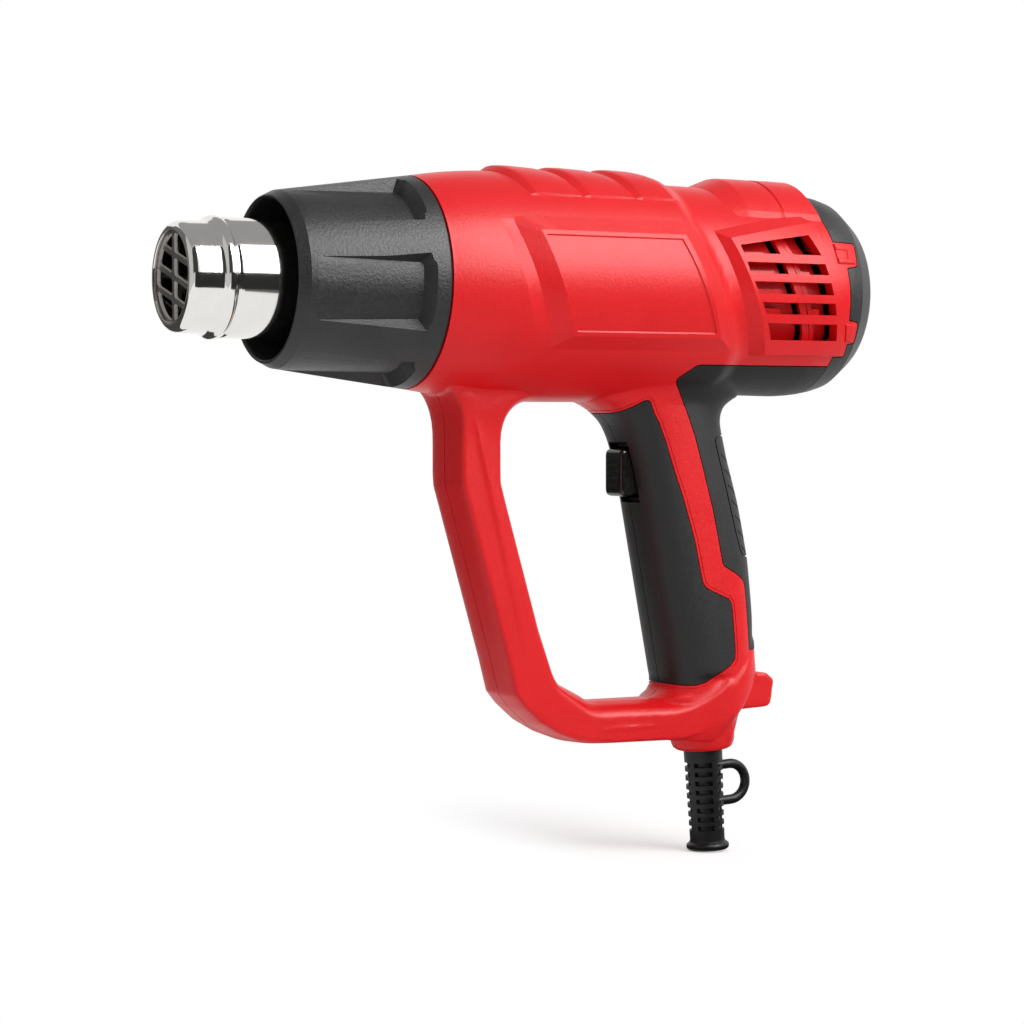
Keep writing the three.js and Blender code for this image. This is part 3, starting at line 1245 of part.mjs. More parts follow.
function terminalBlock() {
  const z0 = TERMINAL_TOP_Z - TERMINAL_HEIGHT;
  const [half, depth] = [TERMINAL_HALF_WIDTH, 6];
  const body = solid(block(TERMINAL_X - depth, TERMINAL_X + depth, -half, half, z0, TERMINAL_TOP_Z));
  const [low, high, radius] = [z0 - 1, TERMINAL_TOP_Z + 1, 1.4];
  const holes = [-3, 3].map((y) => {
    const hole = upright([[0, low], [radius, low], [radius, high], [0, high]], PIN_FACETS);
    return solid(hole.translate(TERMINAL_X, y, 0));
  });
  return cut(body, holes);
}

const clampBar = cut(
  solid(block(
    CLAMP_X - CLAMP_LENGTH / 2, CLAMP_X + CLAMP_LENGTH / 2,
    CLAMP_Y, CLAMP_Y + CLAMP,
    CLAMP_Z - CLAMP_HEIGHT / 2, CLAMP_Z + CLAMP_HEIGHT / 2,
  )),
  clampScrewX.map((x) => (
    solid(crossBar(x, CLAMP_Z, CLAMP_Y - 1, CLAMP_Y + CLAMP + 1, SCREW_RADIUS + GAP, PIN_FACETS))
  )),
);
const clampScrews = clampScrewX.map((x) => screw(x, CLAMP_Z, CLAMP_Y + CLAMP + GAP, CLAMP + 5));

// Path of a heater lead on the right side: out of the switch, past the blower and up to the heater base
const leadPath = (() => {
  const low = -(SHROUD_RADIUS + BARREL_INNER) / 2;
  const switchTop = SLOT_TOP_Z - GAP;
  const startX = SWITCH_FRONT_X + SWITCH_DEPTH - 6;
  const endRadius = HEATER_BASE_RADIUS * 0.8;
  const endX = HEATER_BASE_REAR_X + GAP;
  const [endY, endZ] = [endRadius * 0.5, -endRadius * 0.866];
  return [
    [startX, 3, switchTop + GAP],
    [startX, 3, switchTop + 6],
    [SHROUD_REAR_X + 2, 3, low],
    [SHROUD_REAR_X - SHROUD_LENGTH / 2, 3, low],
    [SHROUD_FRONT_X - 3, 3, low],
    [(SHROUD_FRONT_X + HOUSING_FRONT_X) / 2, 5, (low + endZ) / 2],
    [endX + 8, endY, endZ],
    [endX, endY, endZ],
  ];
})();

// Assembly

const micaSleeve = solid(ring(MICA_FRONT_X, MICA_REAR_X, MICA_RADIUS, MICA_RADIUS - MICA_WALL));
const CUTOUT_X = HEATER_BASE_REAR_X + GAP;
const thermalCutout = solid(disc(CUTOUT_X, CUTOUT_X + CUTOUT_LENGTH, CUTOUT_RADIUS, MIDDLE_FACETS));

const tool = new THREE.Group();
tool.name = "hot_air_tool";
tool.add(
  piece("housing_left", common(housing, leftSide), RED, 0.5),
  piece("housing_right", common(housing, rightSide), RED, 0.5),
  piece("grip_pad_left", common(frontPad, leftSide), SOFT, 0.8),
  piece("grip_pad_right", common(frontPad, rightSide), SOFT, 0.8),
  piece("back_pad_left", common(backPad, leftSide), SOFT, 0.8),
  piece("back_pad_right", common(backPad, rightSide), SOFT, 0.8),
  piece("rear_cap", rearCap(), BLACK, 0.6),
  piece("heat_guard", heatGuard(), BLACK, 0.6),
  piece("nozzle_tube", nozzleTube(), STEEL, 0.2, 1),
  piece("nozzle_grille", nozzleGrille(), ZINC, 0.4, 1),
  piece("mica_sleeve", micaSleeve, MICA, 0.7),
  piece("element_former", elementFormer(), MICA, 0.7),
  piece("heating_coil", heatingCoil(), ZINC, 0.4, 1),
  piece("heater_base", heaterBase(), CERAMIC, 0.7),
  piece("thermal_cutout", thermalCutout, ZINC, 0.4, 1),
  piece("fan_shroud", fanShroud(), BLACK, 0.6),
  piece("fan_impeller", fanImpeller(), BLACK, 0.6),
  piece("motor_mount", motorMount(), BLACK, 0.6),
  piece("motor_can", motorCan(), ZINC, 0.4, 1),
  piece("motor_end_bell", endBell, BLACK, 0.6),
  piece("motor_front_bush", frontBush, BRONZE, 0.4, 1),
  piece("motor_rear_bush", rearBush, BRONZE, 0.4, 1),
  piece("motor_shaft", shaft, STEEL, 0.2, 1),
  piece("motor_armature", armature, COPPER, 0.5, 1),
  piece("switch_body", switchBody(), BLACK, 0.5),
  piece("rocker", rockerKey(), BLACK, 0.3),
  piece("rocker_pin", rockerPin, STEEL, 0.3, 1),
  piece("circuit_board", circuitBoard, BOARD_GREEN, 0.5),
  piece("bridge_rectifier", rectifier, BLACK, 0.5),
  piece("capacitor", capacitor, BLACK, 0.4),
  piece("terminal_block", terminalBlock(), CERAMIC, 0.5),
  piece("cord_clamp", clampBar, BLACK, 0.6),
  piece("clamp_screw_front", clampScrews[0], ZINC, 0.4, 1),
  piece("clamp_screw_rear", clampScrews[1], ZINC, 0.4, 1),
  piece("heater_lead_left", solid(wire(mirrored(leadPath), LEAD_RADIUS)), RED, 0.6),
  piece("heater_lead_right", solid(wire(leadPath, LEAD_RADIUS)), BLACK, 0.6),
  piece("cord_sleeve", cordSleeve(), SOFT, 0.7),
  ...SCREWS.map(([name, x, z]) => piece(name, screw(x, z), ZINC, 0.4, 1)),
);

export default tool;
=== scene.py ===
"""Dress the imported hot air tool: moulded shell, soft pads, guard, nozzle, switch, sleeve and studio.

Sizes are in mm, in the part's own frame.
"""

import logging
import math
from dataclasses import dataclass, field
from enum import Enum
from typing import Callable, Iterable, Sequence

import bmesh
import bpy
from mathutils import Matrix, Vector


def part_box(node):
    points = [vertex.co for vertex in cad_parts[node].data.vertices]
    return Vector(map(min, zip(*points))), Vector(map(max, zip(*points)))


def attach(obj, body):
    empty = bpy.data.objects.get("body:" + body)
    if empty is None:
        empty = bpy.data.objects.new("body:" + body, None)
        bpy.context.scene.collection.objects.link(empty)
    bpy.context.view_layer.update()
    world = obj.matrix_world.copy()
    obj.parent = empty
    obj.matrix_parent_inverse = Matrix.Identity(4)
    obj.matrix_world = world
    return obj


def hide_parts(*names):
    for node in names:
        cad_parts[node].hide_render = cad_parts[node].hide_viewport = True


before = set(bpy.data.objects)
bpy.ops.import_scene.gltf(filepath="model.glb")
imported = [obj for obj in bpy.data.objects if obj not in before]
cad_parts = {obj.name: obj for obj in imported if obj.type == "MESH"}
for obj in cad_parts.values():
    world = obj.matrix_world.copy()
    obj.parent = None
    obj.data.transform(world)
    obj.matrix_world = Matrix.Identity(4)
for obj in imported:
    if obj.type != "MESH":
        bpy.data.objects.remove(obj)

Piece = bpy.types.Object
Material = bpy.types.Material
Tree = bpy.types.NodeTree
Node = bpy.types.Node
Socket = bpy.types.NodeSocket
Sockets = dict[str, Socket]
Point = tuple[float, float, float]
# x, z and rise, or another row of three that its field explains
Spot = tuple[float, float, float]
Flat = tuple[float, float]
Flats = tuple[Flat, ...]
Quad = tuple[Flat, Flat, Flat, Flat]

MM = 0.001
# past every side of the tool
FAR = 80.0
# rise of the hidden face of what is added to the skin
SUNK = -2.0
# least squared length of a corner's direction, which holds back how far a sharp corner moves
SHARP_CORNER = 0.8
# angles in degrees above which an edge stays a crease
CRISP, PLAIN, ROUND, TURNED = 18.0, 32.0, 40.0, 50.0
# where most values of a noise lie
NOISE_SPAN = (0.3, 0.7)
WHITE = (1.0, 1.0, 1.0, 1.0)
LOG = logging.getLogger("hot_air_tool")


class Carve(Enum):
    """How one solid works on another."""

    ADD = "UNION"
    CUT = "DIFFERENCE"
    KEEP = "INTERSECT"


class Side(Enum):
    """A side of the tool, as the sign of Y."""

    LEFT = -1
    RIGHT = 1


# ---------------------------------------------------------------- small sums


def clamp(value: float, low: float = 0.0, high: float = 1.0) -> float:
    """Hold a value between two limits."""
    return max(low, min(high, value))


def ease(value: float) -> float:
    """Smooth step from 0 to 1."""
    held = clamp(value)
    return held * held * (3 - 2 * held)


def faded(value: float, at: float, run: Flat, fade: Flat) -> float:
    """A value that holds along a run and fades over a length inside either end of it."""
    return value * ease((at - run[0]) / fade[0]) * ease((run[1] - at) / fade[1])


def between(table: Sequence[Flat], at: float) -> float:
    """Read a table of (place, value) pairs by straight lines.

    Args:
        table: pairs in rising order of place.
        at: the place to read.

    Returns:
        The value there, held at the table's ends.
    """
    if at <= table[0][0]:
        return table[0][1]
    for (low, first), (high, second) in zip(table, table[1:]):
        if at <= high:
            return first + (second - first) * (at - low) / (high - low)
    return table[-1][1]


def steps(low: float, high: float, count: int) -> list[float]:
    """Evenly spaced values from low to high, both ends among them."""
    return [low + (high - low) * k / (count - 1) for k in range(count)]


def curve(start: Flat, pull: Flat, end: Flat, count: int) -> list[Flat]:
    """Points on a quadratic curve.

    Args:
        start: first point.
        pull: the point that bends the curve.
        end: last point.
        count: how many points, both ends among them.

    Returns:
        The points in order.
    """
    points = []
    for t in steps(0, 1, count):
        a, b, c = (1 - t) ** 2, 2 * t * (1 - t), t * t
        points.append((a * start[0] + b * pull[0] + c * end[0], a * start[1] + b * pull[1] + c * end[1]))
    return points


def grown(outline: Sequence[Flat], reach: float) -> list[Flat]:
    """Move every side of a flat outline outwards.

    Args:
        outline: corners in order.
        reach: how far each side moves, in mm.

    Returns:
        The moved corners.
    """
    area = sum(a[0] * b[1] - b[0] * a[1] for a, b in zip(outline, [*outline[1:], outline[0]]))
    sign = 1 if area > 0 else -1
    moved = []
    for k, corner in enumerate(outline):
        here, last, after = Vector(corner), Vector(outline[k - 1]), Vector(outline[(k + 1) % len(outline)])
        into, out = (here - last).normalized(), (after - here).normalized()
        first = Vector((into.y, -into.x)) * sign
        second = Vector((out.y, -out.x)) * sign
        middle = first + second
        share = reach * 2 / max(middle.length_squared, SHARP_CORNER)
        moved.append((here.x + middle.x * share, here.y + middle.y * share))
    return moved


# ---------------------------------------------------------------- shaping


def deselect() -> None:
    """Drop the selection, so an operator touches only what it should."""
    bpy.ops.object.select_all(action="DESELECT")


def activate(piece: Piece) -> None:
    """Make one object the only selected and active one.

    Args:
        piece: the object.
    """
    deselect()
    piece.select_set(True)
    bpy.context.view_layer.objects.active = piece


def skin(name: str, rings: Sequence[Sequence[Point]], closed: bool = False) -> Piece:
    """Draw a ring and extrude it from section to section.

    Args:
        name: the new object's name.
        rings: sections in mm, each with the same number of points.
        closed: join the last section to the first instead of capping both ends.

    Returns:
        A closed solid at the origin.
    """
    deselect()
    bpy.ops.mesh.primitive_circle_add(vertices=len(rings[0]), fill_type="NOTHING" if closed else "NGON")
    piece = bpy.context.object
    piece.name = name
    piece.data.name = name
    bpy.ops.object.mode_set(mode="EDIT")
    bpy.ops.mesh.select_mode(type="VERT")
    bpy.ops.mesh.select_all(action="SELECT")
    mesh = bmesh.from_edit_mesh(piece.data)
    for vert, point in zip(mesh.verts, rings[0]):
        vert.co = Vector(point) * MM
    order = {vert.co[:]: k for k, vert in enumerate(mesh.verts)}
    for ring in rings[1:]:
        bpy.ops.mesh.extrude_region_move()
        mesh = bmesh.from_edit_mesh(piece.data)
        fresh = {order[vert.co[:]]: vert for vert in mesh.verts if vert.select}
        for k, vert in fresh.items():
            vert.co = Vector(ring[k]) * MM
        order = {vert.co[:]: k for k, vert in fresh.items()}
    if closed:
        bpy.ops.mesh.select_mode(type="EDGE")
        bpy.ops.mesh.select_all(action="DESELECT")
        bpy.ops.mesh.select_non_manifold(use_wire=False, use_multi_face=False, use_non_contiguous=False)
        bpy.ops.mesh.bridge_edge_loops()
    bpy.ops.mesh.select_all(action="SELECT")
    bpy.ops.mesh.normals_make_consistent(inside=False)
    bpy.ops.object.mode_set(mode="OBJECT")
    return piece


def round_ring(x: float, radius: float, count: int) -> list[Point]:
    """A circle round the barrel's line."""
    return [(x, radius * math.sin(a), radius * math.cos(a)) for a in turn(count)]


def turn(count: int) -> list[float]:
    """Angles of a full turn."""
    return [2 * math.pi * k / count for k in range(count)]


def turned(name: str, profile: Sequence[Flat], count: int, closed: bool = True) -> Piece:
    """Turn a profile of (x, radius) pairs round the barrel's line."""
    return skin(name, [round_ring(x, radius, count) for x, radius in profile], closed)


def prism(name: str, outline: Sequence[Flat], low: float, high: float) -> Piece:
    """A straight bar across the tool with a side outline of (x, z) pairs."""
    return skin(name, [[(x, y, z) for x, z in outline] for y in (low, high)])


def disc(x: float, z: float, radius: float, count: int) -> list[Flat]:
    """A round side outline."""
    return [(x + radius * math.cos(a), z + radius * math.sin(a)) for a in turn(count)]


def box(name: str, low: Point, high: Point) -> Piece:
    """A straight block between two corners, used as a tool for cutting."""
    outline = [(low[0], low[2]), (high[0], low[2]), (high[0], high[2]), (low[0], high[2])]
    return prism(name, outline, low[1], high[1])


def twin(piece: Piece, name: str) -> Piece:
    """Copy a solid, with a mesh of its own.

    Args:
        piece: the solid.
        name: the copy's name.

    Returns:
        The copy.
    """
    activate(piece)
    bpy.ops.object.duplicate(linked=False)
    copy = bpy.context.object
    copy.name = name
    copy.data.name = name
    return copy


def modify(piece: Piece, kind: str, **settings: object) -> None:
    """Add a modifier with its settings and apply it.

    Args:
        piece: the object.
        kind: the modifier's type.
        settings: the modifier's own properties.
    """
    activate(piece)
    modifier = piece.modifiers.new(kind.lower(), kind)
    for key, value in settings.items():
        setattr(modifier, key, value)
    bpy.ops.object.modifier_apply(modifier=modifier.name)


def bevel(piece: Piece, width: float, segments: int, angle: float = 30.0) -> None:
    """Round the edges that are sharper than an angle in degrees."""
    modify(piece, "BEVEL", width=width * MM, segments=segments, limit_method="ANGLE",
           angle_limit=math.radians(angle))


def carve(piece: Piece, tool: Piece, how: Carve, keep: bool = False) -> None:
    """Work one solid on another.

    Args:
        piece: the solid that changes.
        tool: the solid that does the work.
        how: add, cut or keep.
        keep: leave the tool in the scene for more work.
    """
    modify(piece, "BOOLEAN", operation=how.value, solver="MANIFOLD", object=tool)
    if not keep:
        bpy.data.objects.remove(tool)


def carve_all(piece: Piece, tools: Iterable[Piece], how: Carve) -> None:
    """Join several solids into one tool and work that on a solid.

    Args:
        piece: the solid that changes.
        tools: the solids that do the work.
        how: add, cut or keep.
    """
    first, *rest = tools
    for tool in rest:
        carve(first, tool, Carve.ADD)
    carve(piece, first, how)


def shade(piece: Piece, angle: float = PLAIN, fine: Flat | None = None) -> None:
    """Smooth the faces, keep creases sharper than the angle, and let large faces lead the shading.

    Args:
        piece: the object.
        angle: the angle in degrees.
        fine: a smaller angle, and the height in mm above which it holds.
    """
    activate(piece)
    bpy.ops.object.shade_smooth_by_angle(angle=math.radians(angle), keep_sharp_edges=False)
    if fine:
        mesh = bmesh.new()
        mesh.from_mesh(piece.data)
        for edge in mesh.edges:
            above = min(vert.co.z for vert in edge.verts) > fine[1] * MM
            if above and len(edge.link_faces) == 2 and edge.calc_face_angle() > math.radians(fine[0]):
                edge.smooth = False
        mesh.to_mesh(piece.data)
        mesh.free()
    modify(piece, "WEIGHTED_NORMAL", keep_sharp=True)


# ---------------------------------------------------------------- finishes


def colour(code: str) -> tuple[float, float, float, float]:
    """Turn an sRGB hex code into a linear colour.

    Args:
        code: the code, such as #a0b1c2.

    Returns:
        Red, green, blue and alpha.
    """
    parts = [int(code[k:k + 2], 16) / 255 for k in (1, 3, 5)]
    linear = [p / 12.92 if p <= 0.04045 else ((p + 0.055) / 1.055) ** 2.4 for p in parts]
    return (linear[0], linear[1], linear[2], 1.0)


def add(
    tree: Tree, kind: str, settings: dict[str | int, object], links: dict[str | int, object],
) -> Node:
    """Add a shader node.

    Args:
        tree: the material's nodes.
        kind: the node's type.
        settings: sockets or properties by name.
        links: outputs by the name of the socket they feed.

    Returns:
        The node.
    """
    made = tree.nodes.new(kind)
    for key, value in settings.items():
        if isinstance(key, str) and hasattr(made, key):
            setattr(made, key, value)
        else:
            made.inputs[key].default_value = value
    for key, source in links.items():
        tree.links.new(source, made.inputs[key])
    return made


def cleared(owner: Material | bpy.types.World) -> Tree:
    """Switch a material or a world to nodes and empty them.

    Args:
        owner: the material or world.

    Returns:
        Its node tree.
    """
    owner.use_nodes = True
    owner.node_tree.nodes.clear()
    return owner.node_tree


def seen_rays(tree: Tree) -> Socket:
    """1 for the rays that show a surface: from the camera, in a reflection or through glass.

    Args:
        tree: the nodes of a material or a world.

    Returns:
        The output.
    """
    rays = add(tree, "ShaderNodeLightPath", {}, {}).outputs
    seen = rays["Is Camera Ray"]
    for kind in ("Is Glossy Ray", "Is Transmission Ray"):
        seen = add(tree, "ShaderNodeMath", {"operation": "MAXIMUM"}, {0: seen, 1: rays[kind]}).outputs[0]
    return seen


def per_mm(size: float) -> float:
    """Noise scale, in Object coordinates, of a grain of that size in mm."""
    return 1.0 / (size * MM)


@dataclass(frozen=True)
class Finish:
    """A surface with a drifting tone, a fine grain and a gloss that varies with the grain."""

    name: str
    tone: str
    deep: str
    roughness: Flat
    grain: float
    drift: float = 14.0
    relief: float = 0.05
    metallic: float = 0.0
    specular: float = 0.5

    def grain_node(self, tree: Tree, place: Node) -> Socket:
        """The pattern of the fine grain.

        Args:
            tree: the material's nodes.
            place: the node of texture coordinates.

        Returns:
            The output.
        """
        noise = add(tree, "ShaderNodeTexNoise", {
            "Scale": per_mm(self.grain), "Detail": 3.0, "Roughness": 0.55,
        }, {"Vector": place.outputs["Object"]})
        return noise.outputs["Fac"]

    def surface(self, tree: Tree, place: Node, plain: Sockets) -> Sockets:
        """What reaches the shader, by the name of its socket."""
        return plain

    def make(self) -> Material:
        """Build the material.

        Returns:
            The finished material.
        """
        material = bpy.data.materials.new(self.name)
        tree = cleared(material)
        place = add(tree, "ShaderNodeTexCoord", {}, {})
        drift = add(tree, "ShaderNodeTexNoise", {
            "Scale": per_mm(self.drift), "Detail": 2.0,
        }, {"Vector": place.outputs["Object"]})
        grain = self.grain_node(tree, place)
        half = add(tree, "ShaderNodeMath", {"operation": "MULTIPLY", 1: 0.5}, {0: grain})
        blend = add(tree, "ShaderNodeMath", {"operation": "MULTIPLY_ADD", 1: 0.5}, {
            0: drift.outputs["Fac"], 2: half.outputs[0]})
        tones = add(tree, "ShaderNodeValToRGB", {}, {"Fac": blend.outputs[0]})
        for stop, place_on_ramp, code in zip(tones.color_ramp.elements, NOISE_SPAN, (self.deep, self.tone)):
            stop.position = place_on_ramp
            stop.color = colour(code)
        gloss = add(tree, "ShaderNodeMapRange", {
            "From Min": NOISE_SPAN[0], "From Max": NOISE_SPAN[1],
            "To Min": self.roughness[0], "To Max": self.roughness[1],
        }, {"Value": grain})
        bump = add(tree, "ShaderNodeBump", {
            "Strength": 1.0, "Distance": self.relief * MM,
        }, {"Height": grain})
        sockets = self.surface(tree, place, {
            "Base Color": tones.outputs["Color"], "Roughness": gloss.outputs["Result"],
            "Normal": bump.outputs["Normal"],
        })
        shader = add(tree, "ShaderNodeBsdfPrincipled", {
            "Metallic": self.metallic, "Specular IOR Level": self.specular,
        }, sockets)
        add(tree, "ShaderNodeOutputMaterial", {}, {"Surface": shader.outputs["BSDF"]})
        return material


@dataclass(frozen=True)
class BrushedFinish(Finish):
    """Metal whose grain runs in rings or lines, stretched along one axis."""

    stretch: Point = (1.0, 0.08, 0.08)

    def grain_node(self, tree: Tree, place: Node) -> Socket:
        """Grain drawn out into fine lines.

        Args:
            tree: the material's nodes.
            place: the node that gives coordinates.

        Returns:
            The grain, about 0 to 1.
        """
        mapped = add(tree, "ShaderNodeMapping", {"Scale": self.stretch}, {"Vector": place.outputs["Object"]})
        noise = add(tree, "ShaderNodeTexNoise", {
            "Scale": per_mm(self.grain), "Detail": 4.0, "Roughness": 0.6,
        }, {"Vector": mapped.outputs["Vector"]})
        return noise.outputs["Fac"]


@dataclass(frozen=True)
class EdgeHighlightFinish(BrushedFinish):
    """A stamped plate: metal on its face, and a painted highlight on its edges: pale, dull colour and no
    metal where the skin turns away from the plate's face.
    """

    # painted highlight: the pale colour laid on the plate's edges in place of the light they catch
    edge: str = "#e8e2dc"
    # how squarely the skin faces along X: where the painted highlight starts to show, and where it shows
    # alone
    turn_away: Flat = (0.995, 0.9)

    def surface(self, tree: Tree, place: Node, plain: Sockets) -> Sockets:
        """What reaches the shader, with a painted highlight where the skin turns away from the plate's face.

        Args:
            tree: the material's nodes.
            place: the node that gives coordinates.
            plain: what reaches the shader on the face, by the name of its socket.

        Returns:
            The same, with the painted highlight's pale colour and no metal on the edges.
        """
        normal = add(tree, "ShaderNodeSeparateXYZ", {}, {"Vector": place.outputs["Normal"]})
        facing = add(tree, "ShaderNodeMath", {"operation": "ABSOLUTE"}, {0: normal.outputs["X"]})
        highlight_share = add(tree, "ShaderNodeMapRange", {
            "From Min": self.turn_away[0], "From Max": self.turn_away[1],
        }, {"Value": facing.outputs[0]})
        tone = add(tree, "ShaderNodeMix", {"data_type": "RGBA", 7: colour(self.edge)}, {
            0: highlight_share.outputs["Result"], 6: plain["Base Color"]})
        bare = add(tree, "ShaderNodeMath", {"operation": "SUBTRACT", 0: 1.0}, {1: highlight_share.outputs["Result"]})
        return {**plain, "Base Color": tone.outputs[2], "Metallic": bare.outputs[0]}


@dataclass(frozen=True)
class WoundFinish(Finish):
    """Wire or laminations: bands that follow each other along one axis."""

    axis: str = "X"

    def grain_node(self, tree: Tree, place: Node) -> Socket:
        """Bands one grain wide, slightly uneven.

        Args:
            tree: the material's nodes.
            place: the node of texture coordinates.

        Returns:
            The output.
        """
        wave = add(tree, "ShaderNodeTexWave", {
            "wave_type": "BANDS", "bands_direction": self.axis,
            "Scale": per_mm(self.grain) / 20.0, "Distortion": 0.6, "Detail": 2.0,
        }, {"Vector": place.outputs["Object"]})
        return wave.outputs["Fac"]


@dataclass
class Finishes:
    """Every finish of the tool, by the record's slot."""

    # ABS moulding: even red with a spark-eroded grain that breaks up the highlight
    red_plastic: Finish = Finish(
        "ABS_moulded_red", "#e0131a", "#d60f16", (0.31, 0.4), 0.8, relief=0.07, specular=0.3)
    # glass-filled nylon: charcoal with a coarse grain
    black_plastic: Finish = Finish(
        "nylon_glass_filled", "#2c2c2c", "#161616", (0.36, 0.48), 0.8, relief=0.12, specular=0.46)
    # thermoplastic rubber: matt, soft grain
    soft_pad: Finish = Finish(
        "TPE_overmould", "#1a1a1a", "#141414", (0.44, 0.58), 0.7, relief=0.05, specular=0.42)
    # PVC sleeve: near black, slight sheen
    sleeve_rubber: Finish = Finish(
        "PVC_soft_black", "#0d0d0d", "#090909", (0.36, 0.48), 0.9, relief=0.02, specular=0.36)
    # polished nylon key: deep black, shiny
    gloss_key: Finish = Finish("nylon_polished_black", "#120f0e", "#0d0b0a", (0.16, 0.24), 1.6, relief=0.01)
    # stamped and tempered steel plate, with a painted highlight on its edges
    stamped_steel: Finish = EdgeHighlightFinish(
        "steel_stamped_painted_highlight", "#b4aeaa", "#98928e", (0.2, 0.32), 0.5, relief=0.006, metallic=1.0)
    # bright turned steel: mirror with faint turning rings
    polished_steel: Finish = BrushedFinish(
        "steel_bright_turned", "#ebe9e6", "#e0deda", (0.06, 0.1), 0.3, relief=0.0008, metallic=1.0)
    # zinc plated steel: pale grey, dull
    zinc_steel: Finish = BrushedFinish(
        "steel_zinc_plated", "#a9aaac", "#8f9092", (0.26, 0.4), 0.3, relief=0.006, metallic=1.0)
    # mica sheet: brown, flaky
    mica: Finish = Finish("mica_sheet", "#4a3f2c", "#2f281c", (0.25, 0.5), 1.8, relief=0.03)
    # steatite: chalky white fired ceramic
    steatite: Finish = Finish("steatite_ceramic", "#ded8c8", "#cdc5b2", (0.45, 0.6), 0.8, relief=0.03)
    # sintered bronze: warm, porous
    bronze: Finish = Finish(
        "bronze_sintered", "#a9773f", "#8a5e2f", (0.35, 0.5), 0.4, relief=0.02, metallic=1.0)
    # enamelled copper wire and laminations: fine bands
    copper_winding: Finish = WoundFinish(
        "copper_enamelled", "#b4622e", "#7c3d1a", (0.28, 0.42), 0.9, relief=0.12, metallic=1.0)
    # glass fibre board: green with woven grain
    board: Finish = Finish("FR4_laminate", "#2f6b3c", "#245630", (0.3, 0.42), 0.7, relief=0.02)
    # polyamide terminal block: off-white, waxy
    terminal_plastic: Finish = Finish(
        "polyamide_natural", "#d9d4c4", "#cbc5b3", (0.38, 0.5), 0.9, relief=0.02)
    # silicone lead, red
    lead_red: Finish = Finish("silicone_lead_red", "#a32620", "#8e1e19", (0.42, 0.55), 0.7, relief=0.02)
    # silicone lead, black
    lead_black: Finish = Finish("silicone_lead_black", "#202020", "#171717", (0.42, 0.55), 0.7, relief=0.02)
    made: dict[str, Material] = field(default_factory=dict)

    def get(self, slot: str) -> Material:
        """The material of a slot, made once.

        Args:
            slot: the slot's name, or another finish's.

        Returns:
            The material.
        """
        if slot not in self.made:
            self.made[slot] = getattr(self, slot).make()
        return self.made[slot]

    def settle(self, piece: Piece, slot: str, node: str, body: str = "body", finish: str = "") -> None:
        """Give a finished piece its finish and its body, and hide the CAD node it stands for.

        Args:
            piece: the finished object.
            slot: the record's material slot.
            node: the CAD node it replaces.
            body: the CAD body it rides on.
            finish: its finish, where that isn't the slot's own.
        """
        piece.data.materials.clear()
        piece.data.materials.append(self.get(finish or slot))
        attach(piece, body)
        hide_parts(node)
        LOG.info("%s: %d faces, rides on %s", piece.name, len(piece.data.polygons), body)

    def dress_nodes(self) -> None:
        """Give every CAD node the finish of the slot it came with."""
        for name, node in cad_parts.items():
            for place in node.material_slots:
                slot = place.material.name.split(".")[0] if place.material else ""
                if hasattr(self, slot):
                    place.material = self.get(slot)
                else:
                    LOG.warning("%s has an unknown slot %s", name, slot)


# ---------------------------------------------------------------- forms


